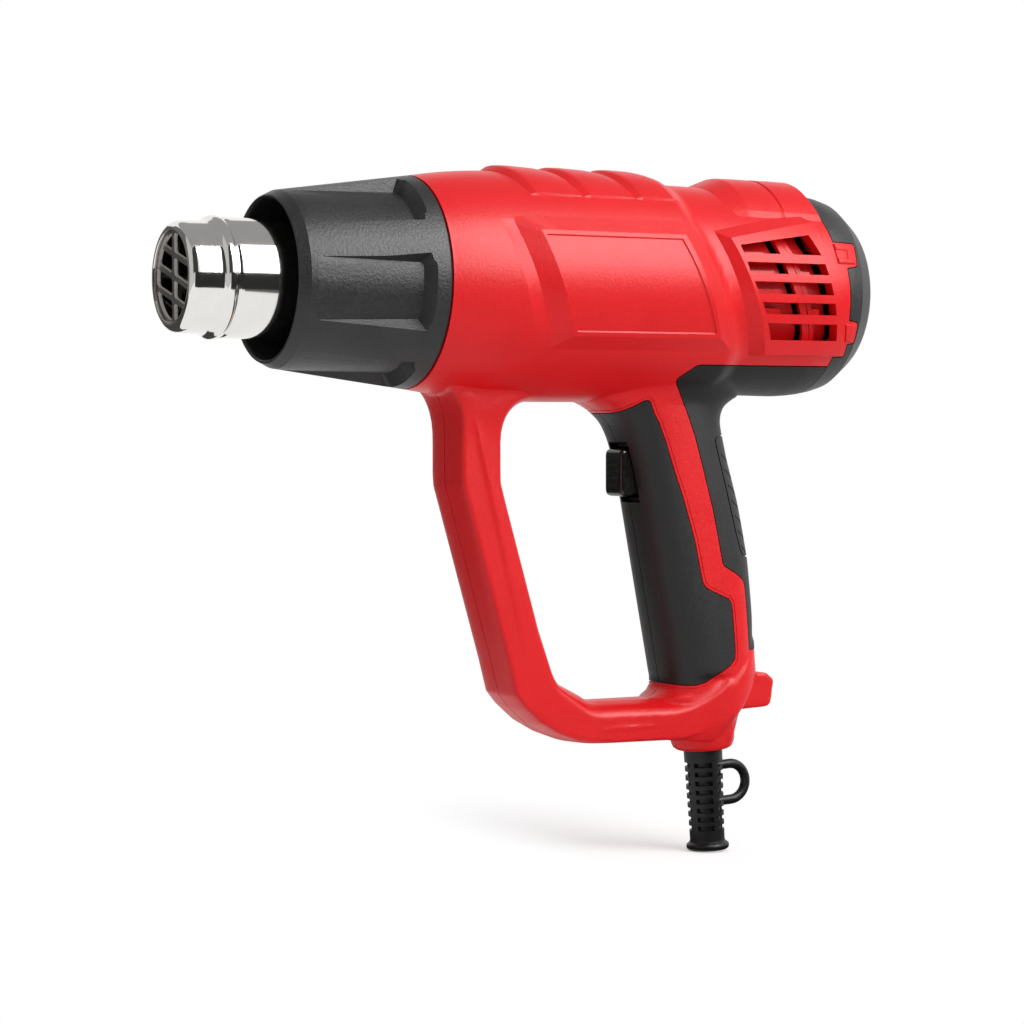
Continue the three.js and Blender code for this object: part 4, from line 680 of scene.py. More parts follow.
@dataclass
class Barrel:
    """The round body: a line of radii, an axis that drops at the rear and a fuller belly."""

    front: float = -158.0
    seam_radius: float = 33.4
    swell: float = 2.6
    taper: float = 30.0
    waist_start: float = -74.0
    waist_length: float = 6.0
    waist_step: float = 2.0
    waist_slant: float = 18.0
    waist_top: float = 20.0
    waist_height: float = 41.0
    drop_length: float = 52.0
    belly: float = 1.2
    belly_angle: float = 38.0
    belly_edge: float = 1.6
    # ends of the belly and of the pads' room, and the lengths over which they fade
    belly_run: Flat = (-129.0, -52.0)
    belly_fade: Flat = (14.0, 16.0)
    pad_run: Flat = (-118.0, -6.0)
    pad_fade: Flat = (6.0, 4.0)
    pad_angle: float = 62.0
    pad_angle_fade: float = 8.0
    nominal_radius: float = 35.0
    wall: float = 2.6
    under_pads: float = 5.0
    shoulder: Flats = ((-22, 0), (-18, 0.2), (-14, 0.6), (-10, 1.3), (-6.5, 2.3), (-1.2, 6.2), (0, 7.2))
    pitch: float = 2.0
    # the shoulder has sections of its own
    shoulder_from: float = -7.0
    shoulder_rows: tuple[float, ...] = (-6.5, -4.0, -1.2, 0.0)
    segments: int = 144

    def radius(self, x: float, z: float = 36.0) -> float:
        """Radius of the skin at a place along the barrel and a height.

        Args:
            x: place along the barrel.
            z: height; the step down to the waist slants back as it goes down.

        Returns:
            The radius.
        """
        lead = clamp((x - self.front) / self.taper)
        base = self.seam_radius + self.swell * (1 - (1 - lead) ** 2)
        start = self.waist_start + self.waist_slant * clamp((self.waist_top - z) / self.waist_height)
        base -= self.waist_step * ease((x - start) / self.waist_length)
        return base - between(self.shoulder, x)

    def drop(self, x: float) -> float:
        """How far the axis has dropped at a place along the barrel."""
        return clamp((x - self.waist_start) / self.drop_length)

    def ring(self, x: float, inset: float, pad_inset: float = 0.0) -> list[Point]:
        """A section of the barrel.

        Args:
            x: place along the barrel.
            inset: how far inside the skin.
            pad_inset: extra inset underneath, where the soft pads lie.

        Returns:
            Points round the section.
        """
        fuller = faded(self.belly, x, self.belly_run, self.belly_fade)
        under_pad = faded(pad_inset, x, self.pad_run, self.pad_fade)
        points = []
        for angle in turn(self.segments):
            low = abs(math.degrees(angle) - 180)
            belly = fuller * ease(self.belly_edge - self.belly_edge * low / self.belly_angle)
            reach = self.radius(x, self.nominal_radius * math.cos(angle)) - inset + belly
            reach -= under_pad * ease((self.pad_angle - low) / self.pad_angle_fade)
            points.append((x, reach * math.sin(angle), reach * math.cos(angle) - self.drop(x)))
        return points

    def solid(
        self, name: str, start: float, end: float, inset: float = 0.0, pad_inset: float = 0.0,
    ) -> Piece:
        """The barrel, or an inner copy of it, as a solid.

        Args:
            name: the object's name.
            start: front end.
            end: rear end.
            inset: how far inside the skin.
            pad_inset: extra inset under the pads.

        Returns:
            The solid.
        """
        even = steps(start, end, max(2, round((end - start) / self.pitch) + 1))
        rows = [x for x in even if x < self.shoulder_from] + [x for x in self.shoulder_rows if x <= end]
        return skin(name, [self.ring(x, inset, pad_inset) for x in rows])

    def on_skin(self, spot: Spot, side: Side) -> Point:
        """The point of the skin at (x, z), raised off it.

        Args:
            spot: x, z and rise in mm.
            side: which side of the tool.

        Returns:
            The point.
        """
        x, z, rise = spot
        radius = self.radius(x, z)
        angle = math.asin(clamp((z + self.drop(x)) / radius, -1.0, 1.0))
        reach = radius + rise
        return (x, side.value * reach * math.cos(angle), reach * math.sin(angle) - self.drop(x))

    def plate(self, name: str, side: Side, rows: Sequence[Sequence[Spot]], back: float) -> Piece:
        """A thick plate that follows the skin.

        Args:
            name: the object's name.
            side: which side of the tool.
            rows: spots of the face, row by row.
            back: rise of the plate's other face.

        Returns:
            The solid.
        """
        rings = []
        for row in rows:
            face = [self.on_skin(spot, side) for spot in row]
            behind = [self.on_skin((x, z, back), side) for x, z, _ in reversed(row)]
            rings.append(face + behind)
        return skin(name, rings)


@dataclass
class Frame:
    """A four-sided panel on the barrel: an outer outline, a bevel and a plateau."""

    outer: Quad
    inner: Quad
    foot: float
    top: float
    fall: float = 0.0
    columns: int = 34
    lines: int = 24
    nudge: float = 0.012

    @staticmethod
    def inside(corners: Sequence[Flat], u: float, v: float) -> Flat:
        """A place in a quad.

        Args:
            corners: top left, top right, bottom right and bottom left.
            u: share of the way across.
            v: share of the way up.

        Returns:
            The place.
        """
        (ax, az), (bx, bz), (cx, cz), (dx, dz) = corners
        low = (dx + (cx - dx) * u, dz + (cz - dz) * u)
        high = (ax + (bx - ax) * u, az + (bz - az) * u)
        return (low[0] + (high[0] - low[0]) * v, low[1] + (high[1] - low[1]) * v)

    def rows(self, foot: Callable[[float, float], float] | None = None) -> list[list[Spot]]:
        """Spots of the panel's face, from its lower edge up.

        Args:
            foot: rise of the outer edge at (u, v), where it isn't the same all round.

        Returns:
            Rows of spots.
        """
        rows = []
        for j in range(self.lines):
            row = []
            for i in range(self.columns):
                u = clamp((i - 1) / (self.columns - 3))
                v = clamp((j - 1) / (self.lines - 3))
                at_end, at_rim = i in (0, self.columns - 1), j in (0, self.lines - 1)
                if at_end or at_rim:
                    # spots beside a corner are nudged off it, so that no two fall together
                    held_u = u if at_end else clamp(u, self.nudge, 1 - self.nudge)
                    held_v = v if at_rim else clamp(v, self.nudge, 1 - self.nudge)
                    x, z = self.inside(self.outer, held_u, held_v)
                    row.append((x, z, foot(u, v) if foot else self.foot))
                else:
                    x, z = self.inside(self.inner, u, v)
                    row.append((x, z, self.top - self.fall * u))
            rows.append(row)
        return rows


@dataclass
class Grip:
    """The leaning handle: a rounded section that flares into the barrel and tucks in over the hip."""

    lean: float = math.tan(math.radians(10.0))
    axis_x: float = -62.6
    axis_z: float = -46.0
    depth: float = 37.0
    half_width: float = 15.5
    shape: float = 2 / 2.6
    top: float = -21.6
    bottom: float = -147.9
    length: float = 80.0
    taper: float = 2.4
    swell: float = 2.0
    # fillets over the bar, under the barrel and beside it: radius, foot and top
    bar_fillet: Point = (7.5, 126.2, 133.6)
    rear_fillet: Point = (9.0, -45.0, -36.0)
    side_fillet: Point = (10.0, -38.3, -30.0)
    # the hip, and how far its front, rear and sides are drawn in at the foot
    hip_top: float = -126.0
    hip_height: float = 21.9
    front_draw: float = 3.0
    rear_draw: Flat = (9.0, 2.0)
    side_draw: float = 2.5
    # height of the hip's rim and of its lower edge, and where each starts to rise
    rim: Flat = (-139.0, -69.0)
    keel: Flat = (-147.5, -66.0)
    edge_rise: float = 0.0205
    tuck: float = 2.2
    tuck_rise: float = 5.5
    tuck_top: float = -125.8
    tuck_fade: float = 2.0
    tuck_front: Flat = (2.0, 18.0)
    hip: float = 0.7
    hip_edge: float = 1.6
    undercut: float = 3.2
    undercut_rise: float = 7.0
    fine_from: float = -116.0
    pitches: Flat = (1.5, 0.55)
    front_line: Flats = (
        (-70, 0.0), (-60, 0.3), (-54, 0.8), (-51.7, 1.1), (-49.4, 1.4), (-46.2, 2.4), (-44.5, 3.1),
        (-42.9, 4.1), (-41.3, 5.7), (-40, 7.2), (-38.7, 9.0), (-37.5, 11.4), (-36.5, 14.0), (-35, 16.0))
    rear_line: Flats = ((-120, -1.2), (-108, 0.0), (-89, 0.6), (-70, 0.0), (-56, -1.2), (-34, -1.3))
    segments: int = 96

    def axis(self, z: float) -> float:
        """Where the handle's middle line is at a height."""
        return self.axis_x + (self.axis_z - z) * self.lean

    @staticmethod
    def flare(z: float, radius: float, foot: float, top: float) -> float:
        """How far a section spreads on the fillet that runs into the barrel."""
        rise = clamp(z - foot, 0.0, top - foot)
        return radius - math.sqrt(radius * radius - rise * rise)

    @classmethod
    def hip_share(cls, z: float) -> float:
        """How far down the hip a height lies, from 0 to 1."""
        return clamp((cls.hip_top - z) / cls.hip_height)

    @classmethod
    def edge_height(cls, edge: Flat, x: float) -> float:
        """Height of the hip's rim or lower edge, which rises towards the rear."""
        return edge[0] + cls.edge_rise * max(0.0, x - edge[1]) ** 2

    def reach(self, z: float) -> Point:
        """How far the section reaches from the handle's middle line.

        Args:
            z: height.

        Returns:
            Its front, rear and side reach.
        """
        t = clamp((self.axis_z - z) / self.length, -1.0, 1.0)
        half = (self.depth - self.taper * t) / 2
        low = self.hip_share(z)
        swell = self.swell * math.sin(math.pi * max(0.0, t)) + between(self.rear_line, z)
        front = half + between(self.front_line, z) - self.front_draw * low + self.flare(-z, *self.bar_fillet)
        rear = half + swell + self.flare(z, *self.rear_fillet)
        rear = rear - self.rear_draw[0] * low - self.rear_draw[1] * low ** 3
        side = self.half_width + self.flare(z, *self.side_fillet) - self.side_draw * low * low
        return front, rear, side

    def section(self, z: float, inset: float) -> list[Point]:
        """One level section of the handle.

        Args:
            z: height.
            inset: how far inside the skin.

        Returns:
            Points round the section.
        """
        front, rear, side = (reach - inset for reach in self.reach(z))
        points = []
        for angle in turn(self.segments):
            c, s = math.cos(angle), math.sin(angle)
            x = math.copysign(abs(c) ** self.shape, c) * (rear if c > 0 else front)
            y = math.copysign(abs(s) ** self.shape, s) * side
            above = z - self.edge_height(self.rim, self.axis(z) + x)
            pull = self.tuck * ease(above / self.tuck_rise) * ease((self.tuck_top - z) / self.tuck_fade)
            pull *= ease((x + front - self.tuck_front[0]) / self.tuck_front[1])
            pull -= self.hip * ease(-above / self.hip_edge)
            below = self.edge_height(self.keel, self.axis(z) + x) - z
            pull += self.undercut * ease(below / self.undercut_rise)
            share = 1 - pull / max(math.hypot(x, y), 1.0)
            points.append((self.axis(z) + x * share, y * share, z))
        return points

    def solid(self, name: str, inset: float = 0.0, span: Flat | None = None) -> Piece:
        """The handle, or an inner copy of it, as a solid.

        Args:
            name: the object's name.
            inset: how far inside the skin.
            span: its upper and lower end, where it isn't the whole handle.

        Returns:
            The solid.
        """
        top, bottom = span or (self.top, self.bottom)
        fine = clamp(self.fine_from, bottom, top)
        rows = steps(top, fine, max(2, round((top - fine) / self.pitches[0]) + 1))
        rows += steps(fine, bottom, max(2, round((fine - bottom) / self.pitches[1]) + 1))[1:]
        return skin(name, [self.section(z, inset) for z in rows])


@dataclass
class Loop:
    """The D-shaped bow in front of the handle: leg, bend and bar, crowned in front and more so inside."""

    front: float = -144.3
    rear: float = -127.2
    knee: float = -63.0
    lean: float = 0.290527
    bottom: float = -147.8
    bar_top: float = -133.7
    bar_crown: float = 1.3
    half_width: float = 11.1
    hip_half_width: float = 16.2
    hip_run: Flat = (-92.0, 46.0)
    hip_below: float = -118.0
    spread: float = 1.6
    spread_run: Flat = (-50.0, 16.0)
    keel_fade: float = 1.1
    inner_lift: float = 0.75
    # x and z of the bend, and how far each moves as the outline is drawn in
    corner: tuple[tuple[float, float, float, float], ...] = (
        (-125.0, -130.6, 0.92, 0.38), (-121.4, -135.0, 0.7, 0.71), (-115.2, -140.4, 0.55, 0.83),
        (-108.6, -144.1, 0.4, 0.92), (-101.8, -146.6, 0.25, 0.97), (-95.0, -147.6, 0.1, 1.0))
    bar_stations: tuple[float, ...] = (
        -88.0, -84.0, -80.0, -76.0, -72.0, -69.0, -66.0, -62.0, -59.0, -56.0, -53.0, -50.0, -47.0)
    # share of the half width, and how far the outside and the inside are drawn in there
    rim: tuple[Spot, ...] = (
        (0.0, 0.0, 0.0), (0.35, 0.1, 0.2), (0.65, 0.35, 1.0), (0.86, 0.7, 2.1), (0.95, 1.0, 2.95),
        (1.0, 1.3, 3.7), (1.0, 5.0, 6.2))

    def outline(self, out: float, inner: float) -> list[Flat]:
        """The bow's side outline.

        Args:
            out: how far the front and the underside are drawn in.
            inner: how far the inside is drawn in.

        Returns:
            Corners in order, from the leg's top down the front and back along the inside.
        """
        front, rear = self.front + out, self.rear - inner
        low, high = self.bottom + out, self.bar_top - inner * self.bar_crown
        share, lift = min(1.0, out / self.keel_fade), inner * self.inner_lift
        path = curve((front - 9.0, -31.0), (front, -33.5), (front, -47.0), 9)
        path += [(front, -51.0), (front, -55.0), (front, self.knee + 3), (front + 0.25, self.knee - 1)]
        path += [(front + (self.knee - z) * self.lean, z) for z in (-70.0, -90.0, -110.0, -120.0)]
        path += [(x + out * a, z + out * b) for x, z, a, b in self.corner]
        path += [
            (x, low + (Grip.edge_height(Grip.keel, x) - Grip.keel[0]) * share) for x in self.bar_stations]
        path += [
            (x, high + Grip.edge_height(Grip.rim, x) - Grip.rim[0]) for x in reversed(self.bar_stations)]
        path += curve((-91.5, high), (-95.0 - inner * 0.35, high + 0.1), (-97.6 - inner * 0.5, high + 2.1), 6)
        path += curve(
            (-106.4 - inner * 0.85, -127.2 - inner * 0.45), (rear + 18.9, -125.2), (rear + 17.6, -121.0), 6)
        path += [(rear + (self.knee - z) * self.lean, z) for z in (-110.0, -90.0, -70.0)]
        path += [(rear + 0.1, self.knee), (rear, self.knee + 4), (rear, -55.0), (rear, -52.0)]
        path += curve((rear, -50.0), (rear, -37.2 + lift * 0.5), (rear + 12.5, -37.0 + lift), 9)
        return path + [(-105.0, -36.6 + lift), (-105.0, -20.0), (front - 9.0, -20.0)]

    def widen(self, x: float, z: float) -> float:
        """Half width of the bow, which spreads into the hip and into the barrel.

        Args:
            x: place along the tool.
            z: height.

        Returns:
            The half width.
        """
        low = Grip.hip_share(z)
        hip = self.hip_half_width - Grip.side_draw * low * low - self.half_width
        at_hip = ease((x - self.hip_run[0]) / self.hip_run[1]) if z < self.hip_below else 0.0
        at_barrel = ease((z - self.spread_run[0]) / self.spread_run[1])
        return self.half_width + hip * at_hip + self.spread * at_barrel

    def solid(self, name: str) -> Piece:
        """The bow as a solid, section by section across the tool.

        Args:
            name: the object's name.

        Returns:
            The solid.
        """
        rim = [(-y, out, inner) for y, out, inner in reversed(self.rim[1:])] + list(self.rim)
        return skin(name, [
            [(x, y * self.widen(x, z), z) for x, z in self.outline(out, inner)] for y, out, inner in rim
        ])


@dataclass
class SleeveSeat:
    """The line along which the strain relief leaves the base."""

    origin: Point = (-48.10, 0.0, -152.6)
    tilt: float = math.radians(3.5)

    def place(self, point: Point) -> Point:
        """Take a point from the sleeve's own frame to the tool's."""
        x, y, z = point
        c, s = math.cos(self.tilt), math.sin(self.tilt)
        return (self.origin[0] + x * c - z * s, y, self.origin[2] + x * s + z * c)

    def turned(self, name: str, profile: Sequence[Flat], count: int, closed: bool) -> Piece:
        """Turn (radius, z) pairs round the sleeve's line.

        Args:
            name: the object's name.
            profile: pairs in mm.
            count: points in a turn.
            closed: join the last pair to the first.

        Returns:
            The solid.
        """
        rings = [
            [self.place((r * math.cos(a), r * math.sin(a), z)) for a in turn(count)] for r, z in profile
        ]
        return skin(name, rings, closed)


# ---------------------------------------------------------------- shell


@dataclass
class TopRibs:
    """Three stepped ribs on top of the barrel, and the ridge behind them."""

    start: float = -131.3
    pitch: float = 19.2
    count: int = 3
    half_angle: float = 42.5
    band: float = 1.6
    lean: float = 0.11
    fade: float = 0.5
    edge_sink: float = 0.4
    # (x, rise) pairs: a rib's front from its own start, its rear and the last rib's from the next one's
    front: Flats = ((0.0, -0.5), (0.35, 0.25), (2.4, 1.6), (3.4, 1.85), (6.0, 1.9))
    rear: Flats = ((-5.0, 1.5), (-0.5, 0.75), (1.0, -0.5))
    last_rear: Flats = ((-8.0, 1.7), (-5.0, 1.3), (-2.0, 0.5), (0.5, -0.6))
    ridge: Flats = (
        (-54.6, -1.0), (-53.6, 0.1), (-46.4, 3.1), (-45.4, 3.35), (-40, 3.5), (-33.4, 3.5), (-32.4, 2.8),
        (-32.0, 3.55), (-26, 3.6), (-20, 3.65), (-17, 3.6))
    ridge_angle: float = 49.5
    ridge_band: float = 6.5
    ridge_fade: float = 0.93

    def bar(
        self, name: str, barrel: Barrel, profile: Sequence[Flat], edge: float, band: float, lean: float,
        fade: float,
    ) -> Piece:
        """A raised bar over the top of the barrel.

        Args:
            name: the object's name.
            barrel: the barrel it lies on.
            profile: (x, rise) pairs along the top.
            edge: half angle of the bar.
            band: angle over which its side slopes down.
            lean: how far it slants back for each degree from the top.
            fade: share of its rise that it has lost at its edge.

        Returns:
            The solid.
        """
        angles = [-edge, -edge + band, *steps(-edge + band + 2, edge - band - 2, 30), edge - band, edge]

        def over(x: float, angle: float, rise: float) -> Point:
            """A point over the top of the barrel.

            Args:
                x: place along the barrel, at the top.
                angle: how far round from the top.
                rise: how far off the skin.

            Returns:
                The point.
            """
            place, a = x + lean * abs(angle), math.radians(angle)
            reach = barrel.radius(place) + rise
            return (place, reach * math.sin(a), reach * math.cos(a) - barrel.drop(place))

        rings = []
        for x, rise in profile:
            ring = []
            for angle in angles:
                share = 0.0 if abs(angle) >= edge else 1 - fade * (angle / edge) ** 2
                ring.append(over(x, angle, rise if rise < 0 else rise * share - self.edge_sink * (1 - share)))
            rings.append(ring + [over(x, angle, SUNK) for angle in reversed(angles)])
        return skin(name, rings)

    def solids(self, barrel: Barrel) -> list[Piece]:
        """The ribs and the ridge.

        Args:
            barrel: the barrel they lie on.

        Returns:
            The solids.
        """
        made = []
        for k in range(self.count):
            start = self.start + k * self.pitch
            tail = self.rear if k < self.count - 1 else self.last_rear
            profile = [(start + x, rise) for x, rise in self.front]
            profile += [(start + self.pitch + x, rise) for x, rise in tail]
            made.append(self.bar(
                f"rib_{k}", barrel, profile, self.half_angle, self.band, self.lean, self.fade))
        made.append(self.bar(
            "ridge", barrel, self.ridge, self.ridge_angle, self.ridge_band, 0.0, self.ridge_fade))
        return made


@dataclass
class SidePanel:
    """The raised panel with a bare label recess, and the valley in front of it."""

    outer: Quad = ((-136.3, 19.7), (-73.0, 19.7), (-55.2, -21.3), (-122.7, -21.2))
    plateau: Quad = ((-128.2, 15.0), (-75.9, 14.9), (-62.4, -16.4), (-116.3, -16.4))
    label: Quad = ((-126.8, 13.8), (-77.4, 13.7), (-64.2, -15.2), (-115.4, -15.2))
    rise: float = 1.5
    recess: float = 0.45
    foot: float = -0.05
    valley: float = 0.8
    valley_width: float = 5.0
    valley_lead: float = 1.0
    valley_over: float = 3.0
    valley_lift: Flat = (0.25, 0.02)
    valley_half: float = 0.55
    valley_ends: Flat = (0.02, 0.98)
    valley_top: float = 4.0
    # share of the front edge, from the bottom, that the valley takes, and how it fades
    valley_run: Flat = (0.12, 1.0)
    valley_fade: Flat = (0.2, 0.12)
    valley_rows: int = 20
    # how quickly the valley ends and the step along the top begins, and where that step lies
    valley_turn: float = 6.0
    step_turn: float = 8.0
    step_run: Flat = (0.9, 0.1)
    top_step: float = 0.75
    label_bevel: float = 0.35
    label_top: float = 5.0

    def valley_share(self, v: float) -> float:
        """How deep the valley is along the panel's front edge, from bottom to top."""
        return faded(1.0, v, self.valley_run, self.valley_fade)

    def valley_tool(self, barrel: Barrel, side: Side) -> Piece:
        """A tool for the valley along the panel's front edge.

        Args:
            barrel: the barrel it follows.
            side: which side.

        Returns:
            The solid.
        """
        top_left, _, _, bottom_left = self.outer
        rows = []
        for v in steps(*self.valley_ends, self.valley_rows):
            x = bottom_left[0] + (top_left[0] - bottom_left[0]) * v
            z = bottom_left[1] + (top_left[1] - bottom_left[1]) * v
            deep = -self.valley * self.valley_share(v)
            rows.append([
                (x - self.valley_width - self.valley_lead, z, self.valley_lift[0]),
                (x - self.valley_width, z, self.valley_lift[1]),
                (x - self.valley_width * 0.5, z, deep * self.valley_half),
                (x, z, deep), (x + self.valley_over, z, deep)])
        return barrel.plate("valley", side, rows, self.valley_top)

    def raised(self, barrel: Barrel, side: Side) -> Piece:
        """The panel itself.

        Args:
            barrel: the barrel it follows.
            side: which side.

        Returns:
            The solid.
        """
        panel = Frame(self.outer, self.plateau, self.foot, self.rise)

        def foot(u: float, v: float) -> float:
            """The foot starts at the valley's floor along the front, and on a small step along the top."""
            valley = self.valley * self.valley_share(v) * ease(1 - u * self.valley_turn)
            step = self.top_step * ease(u * self.step_turn) * ease((v - self.step_run[0]) / self.step_run[1])
            return self.foot - valley + step

        return barrel.plate("panel", side, panel.rows(foot), SUNK)

    def label_tool(self, barrel: Barrel, side: Side) -> Piece:
        """A tool for the bare recess where a label would go.

        Args:
            barrel: the barrel it follows.
            side: which side.

        Returns:
            The solid.
        """
        inner = tuple(grown(self.label, -self.label_bevel))
        bare = Frame(self.label, inner, self.rise - self.foot, self.rise - self.recess)
        return barrel.plate("label", side, bare.rows(), self.label_top)


@dataclass
class VentFrame:
    """The raised frame with five slots at the rear, and the red walls that show through them."""

    outer: Quad = ((-62.7, 17.6), (-26.9, 24.7), (-10.2, -22.2), (-47.9, -22.0))
    plateau: Quad = ((-58.3, 14.2), (-23.9, 20.7), (-11.8, -20.8), (-43.1, -20.7))
    foot: float = -0.05
    rise: float = 2.3
    fall: float = 0.9
    # (z, x) pairs of the slots' ends, then the lower and upper edge of each slot
    left: Flats = ((-17.1, -42.8), (-5.2, -48.2), (3.9, -52.8), (12.9, -55.3))
    right: Flats = ((-17.3, -16.5), (-5.3, -19.6), (4.0, -22.1), (10.8, -24.2), (17.1, -27.2))
    slots: Flats = ((10.4, 14.0), (3.95, 7.6), (-2.5, 1.4), (-9.0, -5.2), (-17.2, -11.9))
    # the slot above this height has its upper edge moved at the front and the rear
    top_slot: float = 9.0
    top_lift: Flat = (-1.0, 3.1)
    # shares of the slot's length, and depths under the skin
    walls: tuple[tuple[float, float, float, float], ...] = (
        (-0.08, 0.53, 5.0, 6.4), (0.7, 0.97, 5.0, 6.4), (1.11, 1.17, 5.0, 6.4), (0.57, 0.66, 1.9, 3.4),
        (0.68, 0.74, 2.4, 6.4), (-0.1, -0.02, 1.9, 6.4), (1.11, 1.17, 1.9, 6.4))
    wall_span: Flat = (-22.0, 20.0)
    wall_grid: tuple[int, int] = (15, 5)
    # slot, and shares of its length
    blades: tuple[tuple[int, float, float], ...] = (
        (0, 0.02, 0.36), (1, 0.02, 0.4), (2, 0.02, 0.4), (3, 0.02, 0.3), (1, 0.68, 0.84), (3, 0.68, 0.84))
    blade_depth: Flat = (2.2, 3.4)
    blade_drop: float = 0.8
    blade_share: float = 0.42

    def slot_outline(self, low: float, high: float) -> list[Flat]:
        """A slot's side outline; the top one rises towards the rear.

        Args:
            low: its lower edge.
            high: its upper edge.

        Returns:
            Pairs of x and z.
        """
        front, rear = self.top_lift if low > self.top_slot else (0.0, 0.0)
        return [
            (between(self.left, low), low), (between(self.right, low), low),
            (between(self.right, high + rear), high + rear), (between(self.left, high + front), high + front)]

    def raised(self, barrel: Barrel, side: Side) -> Piece:
        """The frame itself, highest in front.

        Args:
            barrel: the barrel it follows.
            side: which side.

        Returns:
            The solid.
        """
        rows = Frame(self.outer, self.plateau, self.foot, self.rise, self.fall).rows()
        return barrel.plate("vent_frame", side, rows, SUNK)

    def slot_tools(self) -> list[Piece]:
        """Tools that cut the slots through both sides."""
        return [prism("vent", self.slot_outline(low, high), -FAR, FAR) for low, high in self.slots]

    def wall(self, barrel: Barrel, side: Side, span: Flat, depth: Flat, heights: Flat) -> Piece:
        """A wall under the skin.

        Args:
            barrel: the barrel it follows.
            side: which side.
            span: its ends, as shares of the slots' length.
            depth: its near and far face under the skin.
            heights: its lower and upper end.

        Returns:
            The solid.
        """
        rows = []
        for z in steps(*heights, self.wall_grid[0]):
            left, right = between(self.left, z), between(self.right, z)
            shares = steps(*span, self.wall_grid[1])
            rows.append([(left + (right - left) * u, z, -depth[0]) for u in shares])
        return barrel.plate("inner_wall", side, rows, -depth[1])

    def inner(self, barrel: Barrel, side: Side) -> list[Piece]:
        """Every red wall and blade behind the slots.

        Args:
            barrel: the barrel it follows.
            side: which side.

        Returns:
            The solids.
        """
        made = [self.wall(barrel, side, (start, end), (near, far), self.wall_span)
                for start, end, near, far in self.walls]
        for slot, start, end in self.blades:
            low, high = self.slots[slot]
            heights = (low - self.blade_drop, low + self.blade_share * (high - low))
            made.append(self.wall(barrel, side, (start, end), self.blade_depth, heights))
        return made


